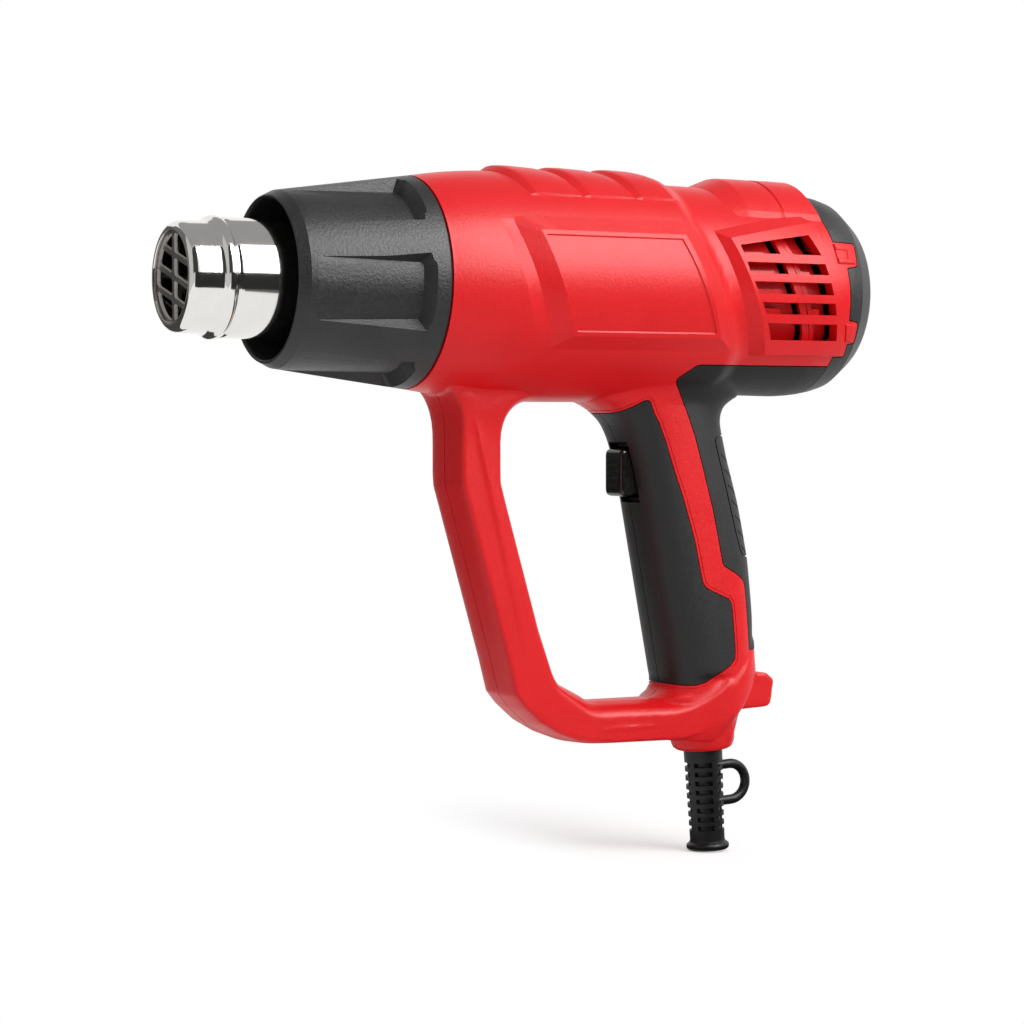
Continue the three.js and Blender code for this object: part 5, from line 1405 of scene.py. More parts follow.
@dataclass
class Pads:
    """The soft overmoulds: round the handle's front, and under the barrel down the handle's back."""

    thickness: float = 2.5
    groove: float = 0.3
    # near and far edge of the fine line round a pad
    line: Flat = (0.95, 1.35)
    line_depth: float = 0.22
    front: Flats = (
        (-44.6, -41.0), (-24.6, -41.0), (-23.1, -40.7), (-21.1, -39.9), (-18.4, -38.5), (-15.9, -37.2),
        (-14.2, -36.7), (-13.3, -37.4), (-12.5, -40.7), (-11.1, -43.9), (-9.7, -50.1), (-8.3, -59.1),
        (-6.5, -68.9), (-4.8, -81.9), (-4.3, -93.4), (-4.1, -95.8), (-3.4, -97.5), (-0.9, -99.0),
        (5.0, -101.6), (5.8, -103.1), (5.6, -106.8), (5.0, -113.3), (4.4, -118.9), (3.8, -121.2),
        (1.8, -123.1), (-5.2, -127.1), (-7.5, -128.4), (-11.0, -129.3), (-14.5, -129.4), (-17.0, -129.1),
        (-20.3, -128.4), (-24.0, -127.7), (-37.6, -127.2))
    back: Flats = (
        (11.6, -118.4), (11.9, -115.3), (12.5, -108.7), (13.1, -102.1), (13.4, -97.4), (13.0, -95.5),
        (10.0, -93.1), (5.4, -90.6), (4.9, -89.3), (4.7, -83.7), (4.2, -72.3), (2.8, -59.2), (1.4, -47.8),
        (-0.4, -39.7), (-1.4, -36.5), (-2.9, -33.3), (-5.1, -30.2), (-4.9, -29.4), (-0.4, -25.8),
        (1.0, -25.5))
    back_rear: float = -14.35
    border: Flats = (
        (32.0, -46.3), (10.4, -48.2), (9.2, -49.8), (10.3, -59.3), (11.3, -69.1), (12.3, -79.0),
        (13.4, -85.7), (14.6, -87.6), (34.0, -90.4))
    border_width: float = 0.5
    border_depth: float = 0.45
    hatch_depth: float = 0.2
    hatch_count: int = 7
    hatch_top: float = -54.0
    hatch_pitch: float = 5.0
    hatch_front: float = 11.6
    hatch_shift: float = 0.5
    hatch_rear: float = 27.0
    hatch_fall: float = 9.0
    hatch_width: float = 0.5
    slot_run: Flat = (-100.0, -70.0)
    slot_top: float = -50.2
    slot_bottom: float = -69.8
    slot_half: float = 7.1
    key_gap: float = 5.85
    core_run: Flat = (-150.0, -2.0)

    @staticmethod
    def placed(grip: Grip, offsets: Sequence[Flat]) -> list[Flat]:
        """Take (offset from the handle's middle line, z) pairs to (x, z) pairs."""
        return [(grip.axis(z) + offset, z) for offset, z in offsets]

    def front_outline(self, grip: Grip) -> list[Flat]:
        """Side outline of the front pad."""
        return self.placed(grip, self.front)

    def back_outline(self, grip: Grip) -> list[Flat]:
        """Side outline of the back pad."""
        rear = [(self.back_rear, self.back[k][1]) for k in (-1, 0)]
        return self.placed(grip, self.back) + rear

    def switch_slot(self, half: float) -> Piece:
        """The opening for the switch."""
        front, rear = self.slot_run
        return box("switch_slot", (front, -half, self.slot_bottom), (rear, half, self.slot_top))

    def line_tool(self, outline: Sequence[Flat], core: Piece) -> Piece:
        """A tool for the fine line in the red round a pad.

        Args:
            outline: the pad's outline.
            core: what lies under the line's floor.

        Returns:
            The solid.
        """
        tool = prism("pad_line", grown(outline, self.line[1]), -FAR, FAR)
        carve(tool, prism("pad_lip", grown(outline, self.line[0]), -FAR, FAR), Carve.CUT)
        carve(tool, core, Carve.CUT, keep=True)
        return tool

    def hatch(self, grip: Grip) -> list[Piece]:
        """Tools for the slanted grooves, and their border, in the back pad.

        Args:
            grip: the handle that the pad lies on.

        Returns:
            The solids.
        """
        outline = self.placed(grip, self.border)
        edge = prism("border", outline, -FAR, FAR)
        carve(edge, prism("inside", grown(outline, -self.border_width), -FAR, FAR), Carve.CUT)
        carve(edge, grip.solid("under_border", self.border_depth), Carve.CUT)
        lines = []
        for k in range(self.hatch_count):
            z = self.hatch_top - self.hatch_pitch * k
            start = grip.axis(z) + self.hatch_front + k * self.hatch_shift
            end, low = grip.axis(z) + self.hatch_rear, z - self.hatch_fall
            lines.append(prism("hatch", [
                (start, z), (end, low), (end, low - self.hatch_width), (start, z - self.hatch_width),
            ], -FAR, FAR))
        under = grip.solid("under_hatch", self.hatch_depth)
        for tool in lines:
            carve(tool, under, Carve.CUT, keep=True)
        bpy.data.objects.remove(under)
        return [edge, *lines]

    def core(self, barrel: Barrel, grip: Grip, depth: float) -> Piece:
        """What lies a given depth under the skin of barrel and handle.

        Args:
            barrel: the barrel.
            grip: the handle.
            depth: how far under the skin.

        Returns:
            The solid.
        """
        under = barrel.solid("core", *self.core_run, depth)
        carve(under, grip.solid("grip_core", depth), Carve.ADD)
        return under


@dataclass
class RearCap:
    """The black bumper at the rear: its edge, its two catches and its flat face."""

    edge: Flats = (
        (-19.6, FAR), (-19.4, 31), (-18.7, 26.5), (-17.3, 19.8), (-16.9, 15.4), (-8.6, 15.1), (-7.8, 14.7),
        (-7.5, 13.9), (-8.2, 7.6), (-9, 7.0), (-12.8, 6.4), (-12.2, 0), (-11.6, -10.3), (-8.2, -10.7),
        (-7.2, -11.4), (-6.8, -17.2), (-7.4, -17.9), (-9.8, -18.3), (-9.3, -21.6), (-9.9, -22.3),
        (-14.2, -22.6), (-14.2, -FAR), (FAR, -FAR), (FAR, FAR))
    gap: float = 0.32
    start: float = -30.0
    catches: tuple[Quad, ...] = (
        ((-17.6, 14.6), (-8.6, 14.6), (-9.2, 7.8), (-17.0, 7.8)),
        ((-13.8, -11.4), (-8.4, -11.4), (-7.8, -17.4), (-12.0, -17.4)))
    catch_rise: float = 0.75
    catch_foot: float = -0.1
    catch_bevel: float = 0.5
    catch_grid: tuple[int, int] = (10, 8)
    thumb: Quad = ((-18.6, 12.7), (-12.2, 12.5), (-12.5, 9.4), (-18.2, 9.4))
    thumb_depth: float = 0.3
    thumb_bevel: float = 0.3
    thumb_over: float = 0.05
    thumb_top: float = 4.0

    def catch_solids(self, barrel: Barrel, side: Side) -> list[Piece]:
        """The red catches that reach over the cap.

        Args:
            barrel: the barrel it follows.
            side: which side.

        Returns:
            The solids.
        """
        made = []
        for quad in self.catches:
            inner = tuple(grown(quad, -self.catch_bevel))
            raised = Frame(quad, inner, self.catch_foot, self.catch_rise, 0.0, *self.catch_grid)
            made.append(barrel.plate("catch", side, raised.rows(), SUNK))
        return made

    def thumb_tool(self, barrel: Barrel, side: Side) -> Piece:
        """A tool for the shallow recess in the upper catch.

        Args:
            barrel: the barrel it follows.
            side: which side.

        Returns:
            The solid.
        """
        inner = tuple(grown(self.thumb, -self.thumb_bevel))
        high, low = self.catch_rise + self.thumb_over, self.catch_rise - self.thumb_depth
        pressed = Frame(self.thumb, inner, high, low, 0.0, *self.catch_grid)
        return barrel.plate("thumb", side, pressed.rows(), self.thumb_top)


@dataclass
class Housing:
    """The clamshell: barrel, bow, handle and base in one moulding, split down the middle."""

    finishes: Finishes
    barrel: Barrel = field(default_factory=Barrel)
    grip: Grip = field(default_factory=Grip)
    loop: Loop = field(default_factory=Loop)
    seat: SleeveSeat = field(default_factory=SleeveSeat)
    ribs: TopRibs = field(default_factory=TopRibs)
    panel: SidePanel = field(default_factory=SidePanel)
    vents: VentFrame = field(default_factory=VentFrame)
    pads: Pads = field(default_factory=Pads)
    cap: RearCap = field(default_factory=RearCap)
    front: float = -166.0
    voxel: float = 0.62
    soften: int = 3
    soften_share: float = 0.5
    fine_crease: Flat = (9.0, -24.0)
    seam: float = 0.16
    # the lip inside the seam: inset, depth, gap, and its runs along the barrel, grip and ridge
    tongue_inset: float = 0.9
    tongue_depth: float = 1.0
    tongue_gap: float = 0.02
    tongue_barrel: Flat = (-156.0, -2.0)
    tongue_grip: Flat = (-24.0, -146.0)
    tongue_ridge: float = 10.0
    # past the tool's front and foot, and past its rear and top
    span: Flat = (-300.0, 100.0)
    room: Flat = (-155.4, -2.8)
    grip_room: Flat = (-24.0, -138.0)
    sleeve_room: Flats = ((6.6, -4.0), (6.6, 7.4), (8.7, 7.4), (8.7, 10.3))
    bore_gap: float = 0.4
    bore_depth: float = 2.2
    lug: Flats = (
        (-46.0, -126.2), (-28.0, -126.8), (-25.0, -129.2), (-26.2, -137.2), (-27.4, -138.2), (-46.0, -139.2))
    lug_half: float = 8.0
    lug_round: float = 1.3
    collar: Flats = ((10.6, 14.0), (10.8, 8.7), (10.6, 3.6), (9.8, 1.6), (8.3, 0.7))

    def blank(self) -> Piece:
        """The moulding before its details: every form joined and its corners softened.

        Returns:
            The solid.
        """
        blank = self.barrel.solid("blank", self.front, 0)
        lug = prism("lug", self.lug, -self.lug_half, self.lug_half)
        bevel(lug, self.lug_round, 3)
        carve_all(blank, [
            self.grip.solid("grip"), self.loop.solid("loop"),
            self.seat.turned("collar", self.collar, 64, False), lug,
        ], Carve.ADD)
        modify(blank, "REMESH", mode="VOXEL", voxel_size=self.voxel * MM)
        modify(blank, "SMOOTH", factor=self.soften_share, iterations=self.soften)
        return blank

    def hollow(self) -> Piece:
        """The room inside the barrel and the handle.

        Returns:
            The solid.
        """
        wall, under_pads = self.barrel.wall, self.barrel.under_pads
        room = self.barrel.solid("room", *self.room, wall, under_pads - wall)
        carve(room, self.grip.solid("grip_room", under_pads, self.grip_room), Carve.ADD)
        return room

    def screw_bores(self) -> list[Piece]:
        """Bores over the heads of the screws that close the shell.

        Returns:
            The solids.
        """
        made = []
        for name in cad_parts:
            if not name.startswith("case_screw"):
                continue
            low, high = (Vector(corner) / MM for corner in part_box(name))
            radius = (high.x - low.x) / 2 + self.bore_gap
            outline = disc((low.x + high.x) / 2, (low.z + high.z) / 2, radius, 32)
            made.append(prism("bore", outline, high.y - self.bore_depth, FAR))
        return made

    def half(self, blank: Piece, name: str, side: Side) -> Piece:
        """Keep one half of a moulding.

        Args:
            blank: the whole moulding.
            name: the half's name.
            side: which half.

        Returns:
            The half.
        """
        piece = twin(blank, name)
        low, high = sorted((side.value * self.seam, side.value * FAR))
        start, end = self.span
        kept = box("half", (start, low, start), (end, high, end))
        if side is Side.LEFT:
            carve_all(kept, self.tongue(), Carve.ADD)
        carve(piece, kept, Carve.KEEP)
        return piece

    def tongue(self) -> list[Piece]:
        """The lip of the left half that closes the seam a little below the skin.

        Returns:
            The solids.
        """
        inset, barrel = self.tongue_inset, self.barrel
        rings = [barrel.ring(x, inset) for x in steps(*self.tongue_barrel, 45)]
        rows = [self.grip.section(z, inset) for z in steps(*self.tongue_grip, 62)]
        ridge = [(x, barrel.radius(x) - barrel.drop(x) + rise - inset) for x, rise in self.ribs.ridge]
        outlines = [
            [(ring[0][0], max(p[2] for p in ring)) for ring in rings]
            + [(ring[0][0], min(p[2] for p in ring)) for ring in reversed(rings)],
            [(min(p[0] for p in row), row[0][2]) for row in rows]
            + [(max(p[0] for p in row), row[0][2]) for row in reversed(rows)],
            [*ridge, (ridge[-1][0], self.tongue_ridge), (ridge[0][0], self.tongue_ridge)],
            self.loop.outline(inset, inset),
        ]
        low, high = -self.seam - self.tongue_depth, self.seam - self.tongue_gap
        return [prism("tongue", outline, low, high) for outline in outlines]

    def build(self) -> None:
        """Mould the shell, its pads and its rear cap, and settle them."""
        blank = self.blank()
        front_trim = box("trim", (self.span[0], -FAR, -FAR), (self.barrel.front, FAR, FAR))
        carve(blank, front_trim, Carve.CUT)
        core = self.pads.core(self.barrel, self.grip, self.pads.thickness)
        hollow = self.hollow()
        self.build_pads(blank, core)
        self.build_cap(hollow)
        self.build_shell(blank, core, hollow)
        for spare in (blank, core, hollow):
            bpy.data.objects.remove(spare)

    def build_pads(self, blank: Piece, core: Piece) -> None:
        """Cut the soft pads out of the blank's skin.

        Args:
            blank: the whole moulding.
            core: what lies under the pads.
        """
        outlines = {
            "grip_pad": self.pads.front_outline(self.grip), "back_pad": self.pads.back_outline(self.grip)}
        for name, outline in outlines.items():
            skin_piece = twin(blank, name)
            carve(skin_piece, prism("pad_outline", outline, -FAR, FAR), Carve.KEEP)
            carve(skin_piece, core, Carve.CUT, keep=True)
            carve(skin_piece, self.pads.switch_slot(self.pads.key_gap), Carve.CUT)
            if name == "back_pad":
                edge = prism("cap_edge", self.cap.edge, -FAR, FAR)
                carve(skin_piece, edge, Carve.CUT)
                carve_all(skin_piece, self.pads.hatch(self.grip), Carve.CUT)
            for side in Side:
                node = f"{name}_{side.name.lower()}"
                piece = self.half(skin_piece, f"soft_{node}", side)
                shade(piece)
                self.finishes.settle(piece, "soft_pad", node)
            bpy.data.objects.remove(skin_piece)

    def build_cap(self, hollow: Piece) -> None:
        """Cut the rear cap out of the barrel's form, whose creases stay crisp.

        Args:
            hollow: the room inside.
        """
        piece = self.barrel.solid("rear_bumper", self.cap.start, 0)
        carve(piece, prism("cap_edge", self.cap.edge, -FAR, FAR), Carve.KEEP)
        carve(piece, hollow, Carve.CUT, keep=True)
        shade(piece, CRISP)
        self.finishes.settle(piece, "black_plastic", "rear_cap")

    def build_shell(self, blank: Piece, core: Piece, hollow: Piece) -> None:
        """Detail the shell and split it.

        Args:
            blank: the whole moulding.
            core: what lies under the pads.
            hollow: the room inside.
        """
        barrel, panel, vents, pads = self.barrel, self.panel, self.vents, self.pads
        shell = twin(blank, "shell")
        carve_all(shell, [panel.valley_tool(barrel, side) for side in Side], Carve.CUT)
        raised = [part for side in Side for part in (panel.raised(barrel, side), vents.raised(barrel, side))]
        carve_all(shell, self.ribs.solids(barrel) + raised, Carve.ADD)
        cuts = [panel.label_tool(barrel, side) for side in Side]
        line_core = pads.core(barrel, self.grip, pads.line_depth)
        for outline in (pads.front_outline(self.grip), pads.back_outline(self.grip)):
            room = prism("pad_room", grown(outline, pads.groove), -FAR, FAR)
            carve(room, core, Carve.CUT, keep=True)
            cuts.append(room)
        cuts.append(pads.line_tool(pads.front_outline(self.grip), line_core))
        bpy.data.objects.remove(line_core)
        cuts.append(prism("cap_room", grown(self.cap.edge, self.cap.gap), -FAR, FAR))
        carve_all(shell, cuts, Carve.CUT)
        carve_all(shell, [part for side in Side for part in self.cap.catch_solids(barrel, side)], Carve.ADD)
        cuts = [twin(hollow, "shell_room"), *vents.slot_tools(), pads.switch_slot(pads.slot_half)]
        cuts += [self.cap.thumb_tool(barrel, side) for side in Side]
        cuts.append(self.seat.turned("sleeve_room", self.sleeve_room, 48, False))
        carve_all(shell, cuts + self.screw_bores(), Carve.CUT)
        carve_all(shell, [part for side in Side for part in vents.inner(barrel, side)], Carve.ADD)
        for side in Side:
            piece = self.half(shell, f"shell_{side.name.lower()}", side)
            shade(piece, fine=self.fine_crease)
            self.finishes.settle(piece, "red_plastic", f"housing_{side.name.lower()}")
        bpy.data.objects.remove(shell)


# ---------------------------------------------------------------- front end


@dataclass
class HeatGuard:
    """The fluted black cone that keeps hands off the nozzle."""

    finishes: Finishes
    front: float = -206.0
    crease: float = -202.6
    rear: float = -158.3
    crease_radius: float = 27.4
    rear_radius: float = 33.4
    # x from the front, or place along the tool, and radius
    lip: Flats = ((1.7, 24.6), (0.9, 24.67), (0.4, 24.87), (0.1, 25.15), (0.0, 25.45), (0.15, 25.8))
    inside: Flats = (
        (-165.4, 28.0), (-165.4, 19.4), (-167.2, 19.2), (-167.4, 25.6), (-180.0, 25.5), (-200.0, 25.0))
    flutes: tuple[float, ...] = (55.0, -8.0, -73.0, -131.0, 171.0, 113.0)
    flute_front: float = -204.0
    flute_rear: float = -165.7
    flute_floor: Flats = ((-204.0, 27.68), (-165.7, 28.5))
    rear_slope: float = 0.6
    wall_half: float = 23.6
    wall_back: float = 1.8
    wall_lift: float = 0.97
    flute_over: float = 2.0
    edge_round: float = 0.3
    # half angles at the front and rear end, and how far the rear end is drawn in
    floor: tuple[Spot, ...] = (
        (20.4, 17.7, 0.9), (19.6, 16.6, 0.3), (18.3, 15.2, 0.05), (16.5, 13.0, 0.0), (11.0, 8.7, 0.0),
        (5.5, 4.3, 0.0))

    def radius(self, x: float) -> float:
        """Radius of the cone's skin."""
        return between(((self.crease, self.crease_radius), (self.rear, self.rear_radius)), x)

    def flute(self, angle: float) -> Piece:
        """A tool for one flute: a level floor that the cone rises out of, with sloping walls.

        Args:
            angle: where it lies round the cone, in degrees up from the left side.

        Returns:
            The solid.
        """
        top = self.rear_radius + self.flute_over
        rings = []
        columns = [(wide, far, back, 0.0) for wide, far, back in self.floor]
        columns = [(self.wall_half, self.wall_half, self.wall_back, self.wall_lift), *columns]
        mirrored = [(-wide, -far, back, lift) for wide, far, back, lift in reversed(columns)]
        for wide, far, back, lift in [*columns, (0.0, 0.0, 0.0, 0.0), *mirrored]:
            low, high = (between(self.flute_floor, x) for x in (self.flute_front, self.flute_rear))
            low, high = low + (top - low) * lift, high + (top - high) * lift
            raised = high - between(self.flute_floor, self.flute_rear)
            rear = self.flute_rear - back + raised * self.rear_slope
            section = [(self.flute_front, low, wide), (rear, high, far),
                       (rear + (top - high) * self.rear_slope, top, far), (self.flute_front, top, wide)]
            ring = []
            for x, reach, aside in section:
                at = math.radians(angle + aside - 90.0)
                ring.append((x, reach * math.sin(at), reach * math.cos(at)))
            rings.append(ring)
        return skin("flute", rings)

    def build(self) -> None:
        """Turn the cone, cut its flutes and settle it."""
        profile = [(self.front + x, radius) for x, radius in self.lip] + [(self.crease, self.crease_radius)]
        profile += [(x, self.radius(x)) for x in steps(self.crease + 2, self.rear - 0.6, 22)]
        profile += [
            (self.rear, self.rear_radius - 0.5), (self.rear, 30.6), (self.rear - 3, 30.4), *self.inside]
        piece = turned("fluted_guard", profile, 180)
        carve_all(piece, [self.flute(angle) for angle in self.flutes], Carve.CUT)
        bevel(piece, self.edge_round, 2, CRISP)
        shade(piece, CRISP)
        self.finishes.settle(piece, "black_plastic", "heat_guard")


@dataclass
class Nozzle:
    """The bright outlet tube and the stamped plate in its mouth."""

    finishes: Finishes
    tube: Flats = (
        (-160.8, 17.5), (-224.0, 17.5), (-226.6, 16.3), (-234.0, 15.7), (-235.2, 15.1), (-236.0, 14.0),
        (-236.5, 13.9), (-236.9, 14.1), (-237.0, 14.6), (-236.75, 15.45), (-236.2, 16.2), (-235.4, 16.72),
        (-234.4, 16.98), (-233.2, 17.05), (-227.4, 17.1), (-226.6, 17.25), (-226.0, 17.6), (-225.5, 18.15),
        (-225.0, 18.6), (-224.4, 18.85), (-223.6, 18.9), (-222.9, 18.8), (-222.5, 18.45), (-222.2, 18.05),
        (-221.7, 17.95), (-221.3, 18.15), (-220.9, 18.38), (-220.2, 18.4), (-200.0, 18.4), (-180.0, 18.4),
        (-164.0, 18.4), (-162.6, 18.9), (-162.4, 20.0), (-162.4, 24.8), (-162.2, 25.0), (-161.0, 25.0),
        (-160.8, 24.8))
    plate_front: float = -235.9
    plate_back: float = -234.8
    plate_radius: float = 15.0
    rim: float = 1.9
    edge_round: float = 0.42
    plate_lip: Flat = (0.25, 0.3)
    hub: float = 1.0
    plug: float = 1.6
    bar: float = 1.65
    rows: int = 4
    # every so many of the steps of a turn make a point, and points closer than the gap fall away
    arc_steps: int = 720
    arc_keep: int = 12
    least_gap: float = 0.25
    corner: float = 0.75
    corner_share: float = 0.4
    tilt: float = math.radians(17.0)

    def hole(self, column: int, row: int) -> Piece:
        """A tool for one hole of the plate.

        Args:
            column: -1 or 1, left or right of the upright bar.
            row: 0 to 3 from the bottom.

        Returns:
            The solid.
        """
        reach, last = self.plate_radius - self.rim, self.rows - 1
        pitch = reach / 2
        low = (row - 2) * pitch + self.bar / 2 if row > 0 else -FAR
        high = (row - 1) * pitch - self.bar / 2 if row < last else FAR
        c, s = math.cos(self.tilt), math.sin(self.tilt)
        edge = column * self.bar / 2

        def meet(level: float) -> list[Flat]:
            """Ends of a slanted edge: at the upright bar and at the rim."""
            half = math.sqrt(max(reach ** 2 - level ** 2, 0.0))
            at_rim = (column * half * c - level * s, column * half * s + level * c)
            return [(edge, (level + edge * s) / c), at_rim]

        points = (meet(low) if row > 0 else []) + (meet(high) if row < last else [])
        if row in (0, last):
            points.append((edge, math.copysign(math.sqrt(reach ** 2 - edge ** 2), row - 1)))
        angles = [2 * math.pi * k / self.arc_steps for k in range(self.arc_steps + 1)]
        arc = [(reach * math.cos(angle), reach * math.sin(angle)) for angle in angles]
        arc = [(y, z) for y, z in arc if column * y > self.bar / 2 and low < -y * s + z * c < high]
        points += arc[::self.arc_keep]
        middle = (sum(p[0] for p in points) / len(points), sum(p[1] for p in points) / len(points))
        points.sort(key=lambda p: math.atan2(p[1] - middle[1], p[0] - middle[0]))
        outline = self.rounded([
            p for k, p in enumerate(points) if math.dist(p, points[k - 1]) > self.least_gap])
        ends = (self.plate_front - 2, self.plate_back + 2)
        return skin("hole", [[(x, y, z) for y, z in outline] for x in ends])

    def rounded(self, outline: Sequence[Flat]) -> list[Flat]:
        """Round an outline's corners by cutting them.

        Args:
            outline: its corners in order.

        Returns:
            Two points for each corner.
        """
        made = []
        for k, (y, z) in enumerate(outline):
            for other in (outline[k - 1], outline[(k + 1) % len(outline)]):
                length = math.dist((y, z), other)
                move = min(self.corner, length * self.corner_share) / length
                made.append((y + (other[0] - y) * move, z + (other[1] - z) * move))
        return made

    def build(self) -> None:
        """Turn the tube, stamp the plate and settle both."""
        tube = turned("outlet_tube", self.tube, 128)
        shade(tube, TURNED)
        self.finishes.settle(tube, "polished_steel", "nozzle_tube")
        front, back, radius = self.plate_front, self.plate_back, self.plate_radius
        along, across = self.plate_lip
        plate = turned("outlet_plate", (
            (front + along, radius), (front, radius - across), (front, self.hub), (back, self.hub),
            (back, radius - across), (back - along, radius)), 96)
        carve(plate, turned("plug", ((front, self.plug), (back, self.plug)), 24, False), Carve.ADD)
        for column in (-1, 1):
            for row in range(self.rows):
                carve(plate, self.hole(column, row), Carve.CUT)
        bevel(plate, self.edge_round, 3, TURNED)
        shade(plate)
        self.finishes.settle(plate, "zinc_steel", "nozzle_grille", finish="stamped_steel")


@dataclass
class Coil:
    """The heating wire, wound in a helix on its former."""

    finishes: Finishes
    radius: float = 12.9
    wire: float = 0.6
    start: float = -217.2
    end: float = -168.5
    turns: int = 8
    steps_per_turn: int = 40
    wire_points: int = 10

    def build(self) -> None:
        """Wind the wire and settle it."""
        rings = []
        total = self.turns * self.steps_per_turn
        pitch = (self.end - self.start) / self.turns
        slope = math.atan2(pitch, 2 * math.pi * self.radius)
        for k in range(total + 1):
            a = 2 * math.pi * k / self.steps_per_turn
            x = self.start + (self.end - self.start) * k / total
            out = Vector((0.0, math.cos(a), math.sin(a)))
            ahead = Vector((math.sin(slope), -math.sin(a) * math.cos(slope), math.cos(a) * math.cos(slope)))
            across = ahead.cross(out)
            middle = Vector((x, 0.0, 0.0)) + out * self.radius
            rings.append([
                tuple(middle + (out * math.cos(b) + across * math.sin(b)) * self.wire)
                for b in turn(self.wire_points)
            ])
        piece = skin("heating_wire", rings)
        shade(piece, TURNED)
        self.finishes.settle(piece, "zinc_steel", "heating_coil")


# ---------------------------------------------------------------- handle fittings


@dataclass
class Rocker:
    """The rocking key on the handle's front, and the switch's body behind it."""

    finishes: Finishes
    face: float = -82.92
    middle: float = -60.0
    pivot: float = -76.12
    half_height: float = 7.8
    half_width: float = 5.4
    corner: float = 2.4
    # the key's heels and its hub, from the pivot and from its ends or middle
    heel: Flat = (1.4, 0.9)
    hub: Flat = (2.4, 2.0)
    ribs: int = 5
    rib_pitch: float = 2.1
    rib_half_height: float = 0.45
    rib_root: float = 1.0
    rib_round: float = 0.18
    rib_half_width: float = 3.4
    rib_rise: float = 0.22
    round_over: float = 1.3
    pin_bore: float = 1.35
    case_wall: float = 1.1
    case_pocket: float = 9.0
    case_depth: float = 2.6
    case_round: float = 0.15

    def outline(self) -> list[Flat]:
        """Side outline of the key.

        Returns:
            Pairs of x and z.
        """
        top, bottom = self.middle + self.half_height, self.middle - self.half_height
        face, inner = self.face, self.face + self.corner
        path = curve((inner, top), (face, top), (face, top - self.corner), 6)
        path += curve((face, bottom + self.corner), (face, bottom), (inner, bottom), 6)
        (heel_x, heel_z), (hub_x, hub_z) = self.heel, self.hub
        return path + [
            (self.pivot + heel_x, bottom + heel_z), (self.pivot + hub_x, self.middle - hub_z),
            (self.pivot + hub_x, self.middle + hub_z), (self.pivot - heel_x, top - heel_z)]

    def pin_tool(self) -> Piece:
        """A tool for the bore that the pin runs in."""
        return prism("pin_bore", disc(self.pivot, self.middle, self.pin_bore, 24), -FAR, FAR)

    def build_case(self) -> None:
        """Shape the switch's body, whose front follows the handle under the pad, and settle it."""
        low, high = (Vector(corner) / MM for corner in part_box("switch_body"))
        wall = self.case_wall
        piece = box("switch_case", tuple(low), tuple(high))
        pocket = box("pocket", (low.x - 1, low.y + wall, low.z + wall),
                     (low.x + self.case_pocket, high.y - wall, high.z - wall))
        carve_all(piece, [pocket, self.pin_tool()], Carve.CUT)
        carve(piece, Grip().solid("under_pad", self.case_depth), Carve.KEEP)
        bevel(piece, self.case_round, 2, TURNED)
        shade(piece)
        self.finishes.settle(piece, "black_plastic", "switch_body")

    def build(self) -> None:
        """Shape the key, lay its ribs and settle it."""
        self.build_case()
        piece = prism("switch_key", self.outline(), -self.half_width, self.half_width)
        bevel(piece, self.round_over, 4, TURNED)
        carve(piece, self.pin_tool(), Carve.CUT)
        for k in range(self.ribs):
            z = self.middle + (k - (self.ribs - 1) / 2) * self.rib_pitch
            rib = box("key_rib", (self.face - self.rib_rise, -self.rib_half_width, z - self.rib_half_height),
                      (self.face + self.rib_root, self.rib_half_width, z + self.rib_half_height))
            bevel(rib, self.rib_round, 2)
            carve(piece, rib, Carve.ADD)
        shade(piece, ROUND)
        self.finishes.settle(piece, "gloss_key", "rocker", body="rocker")


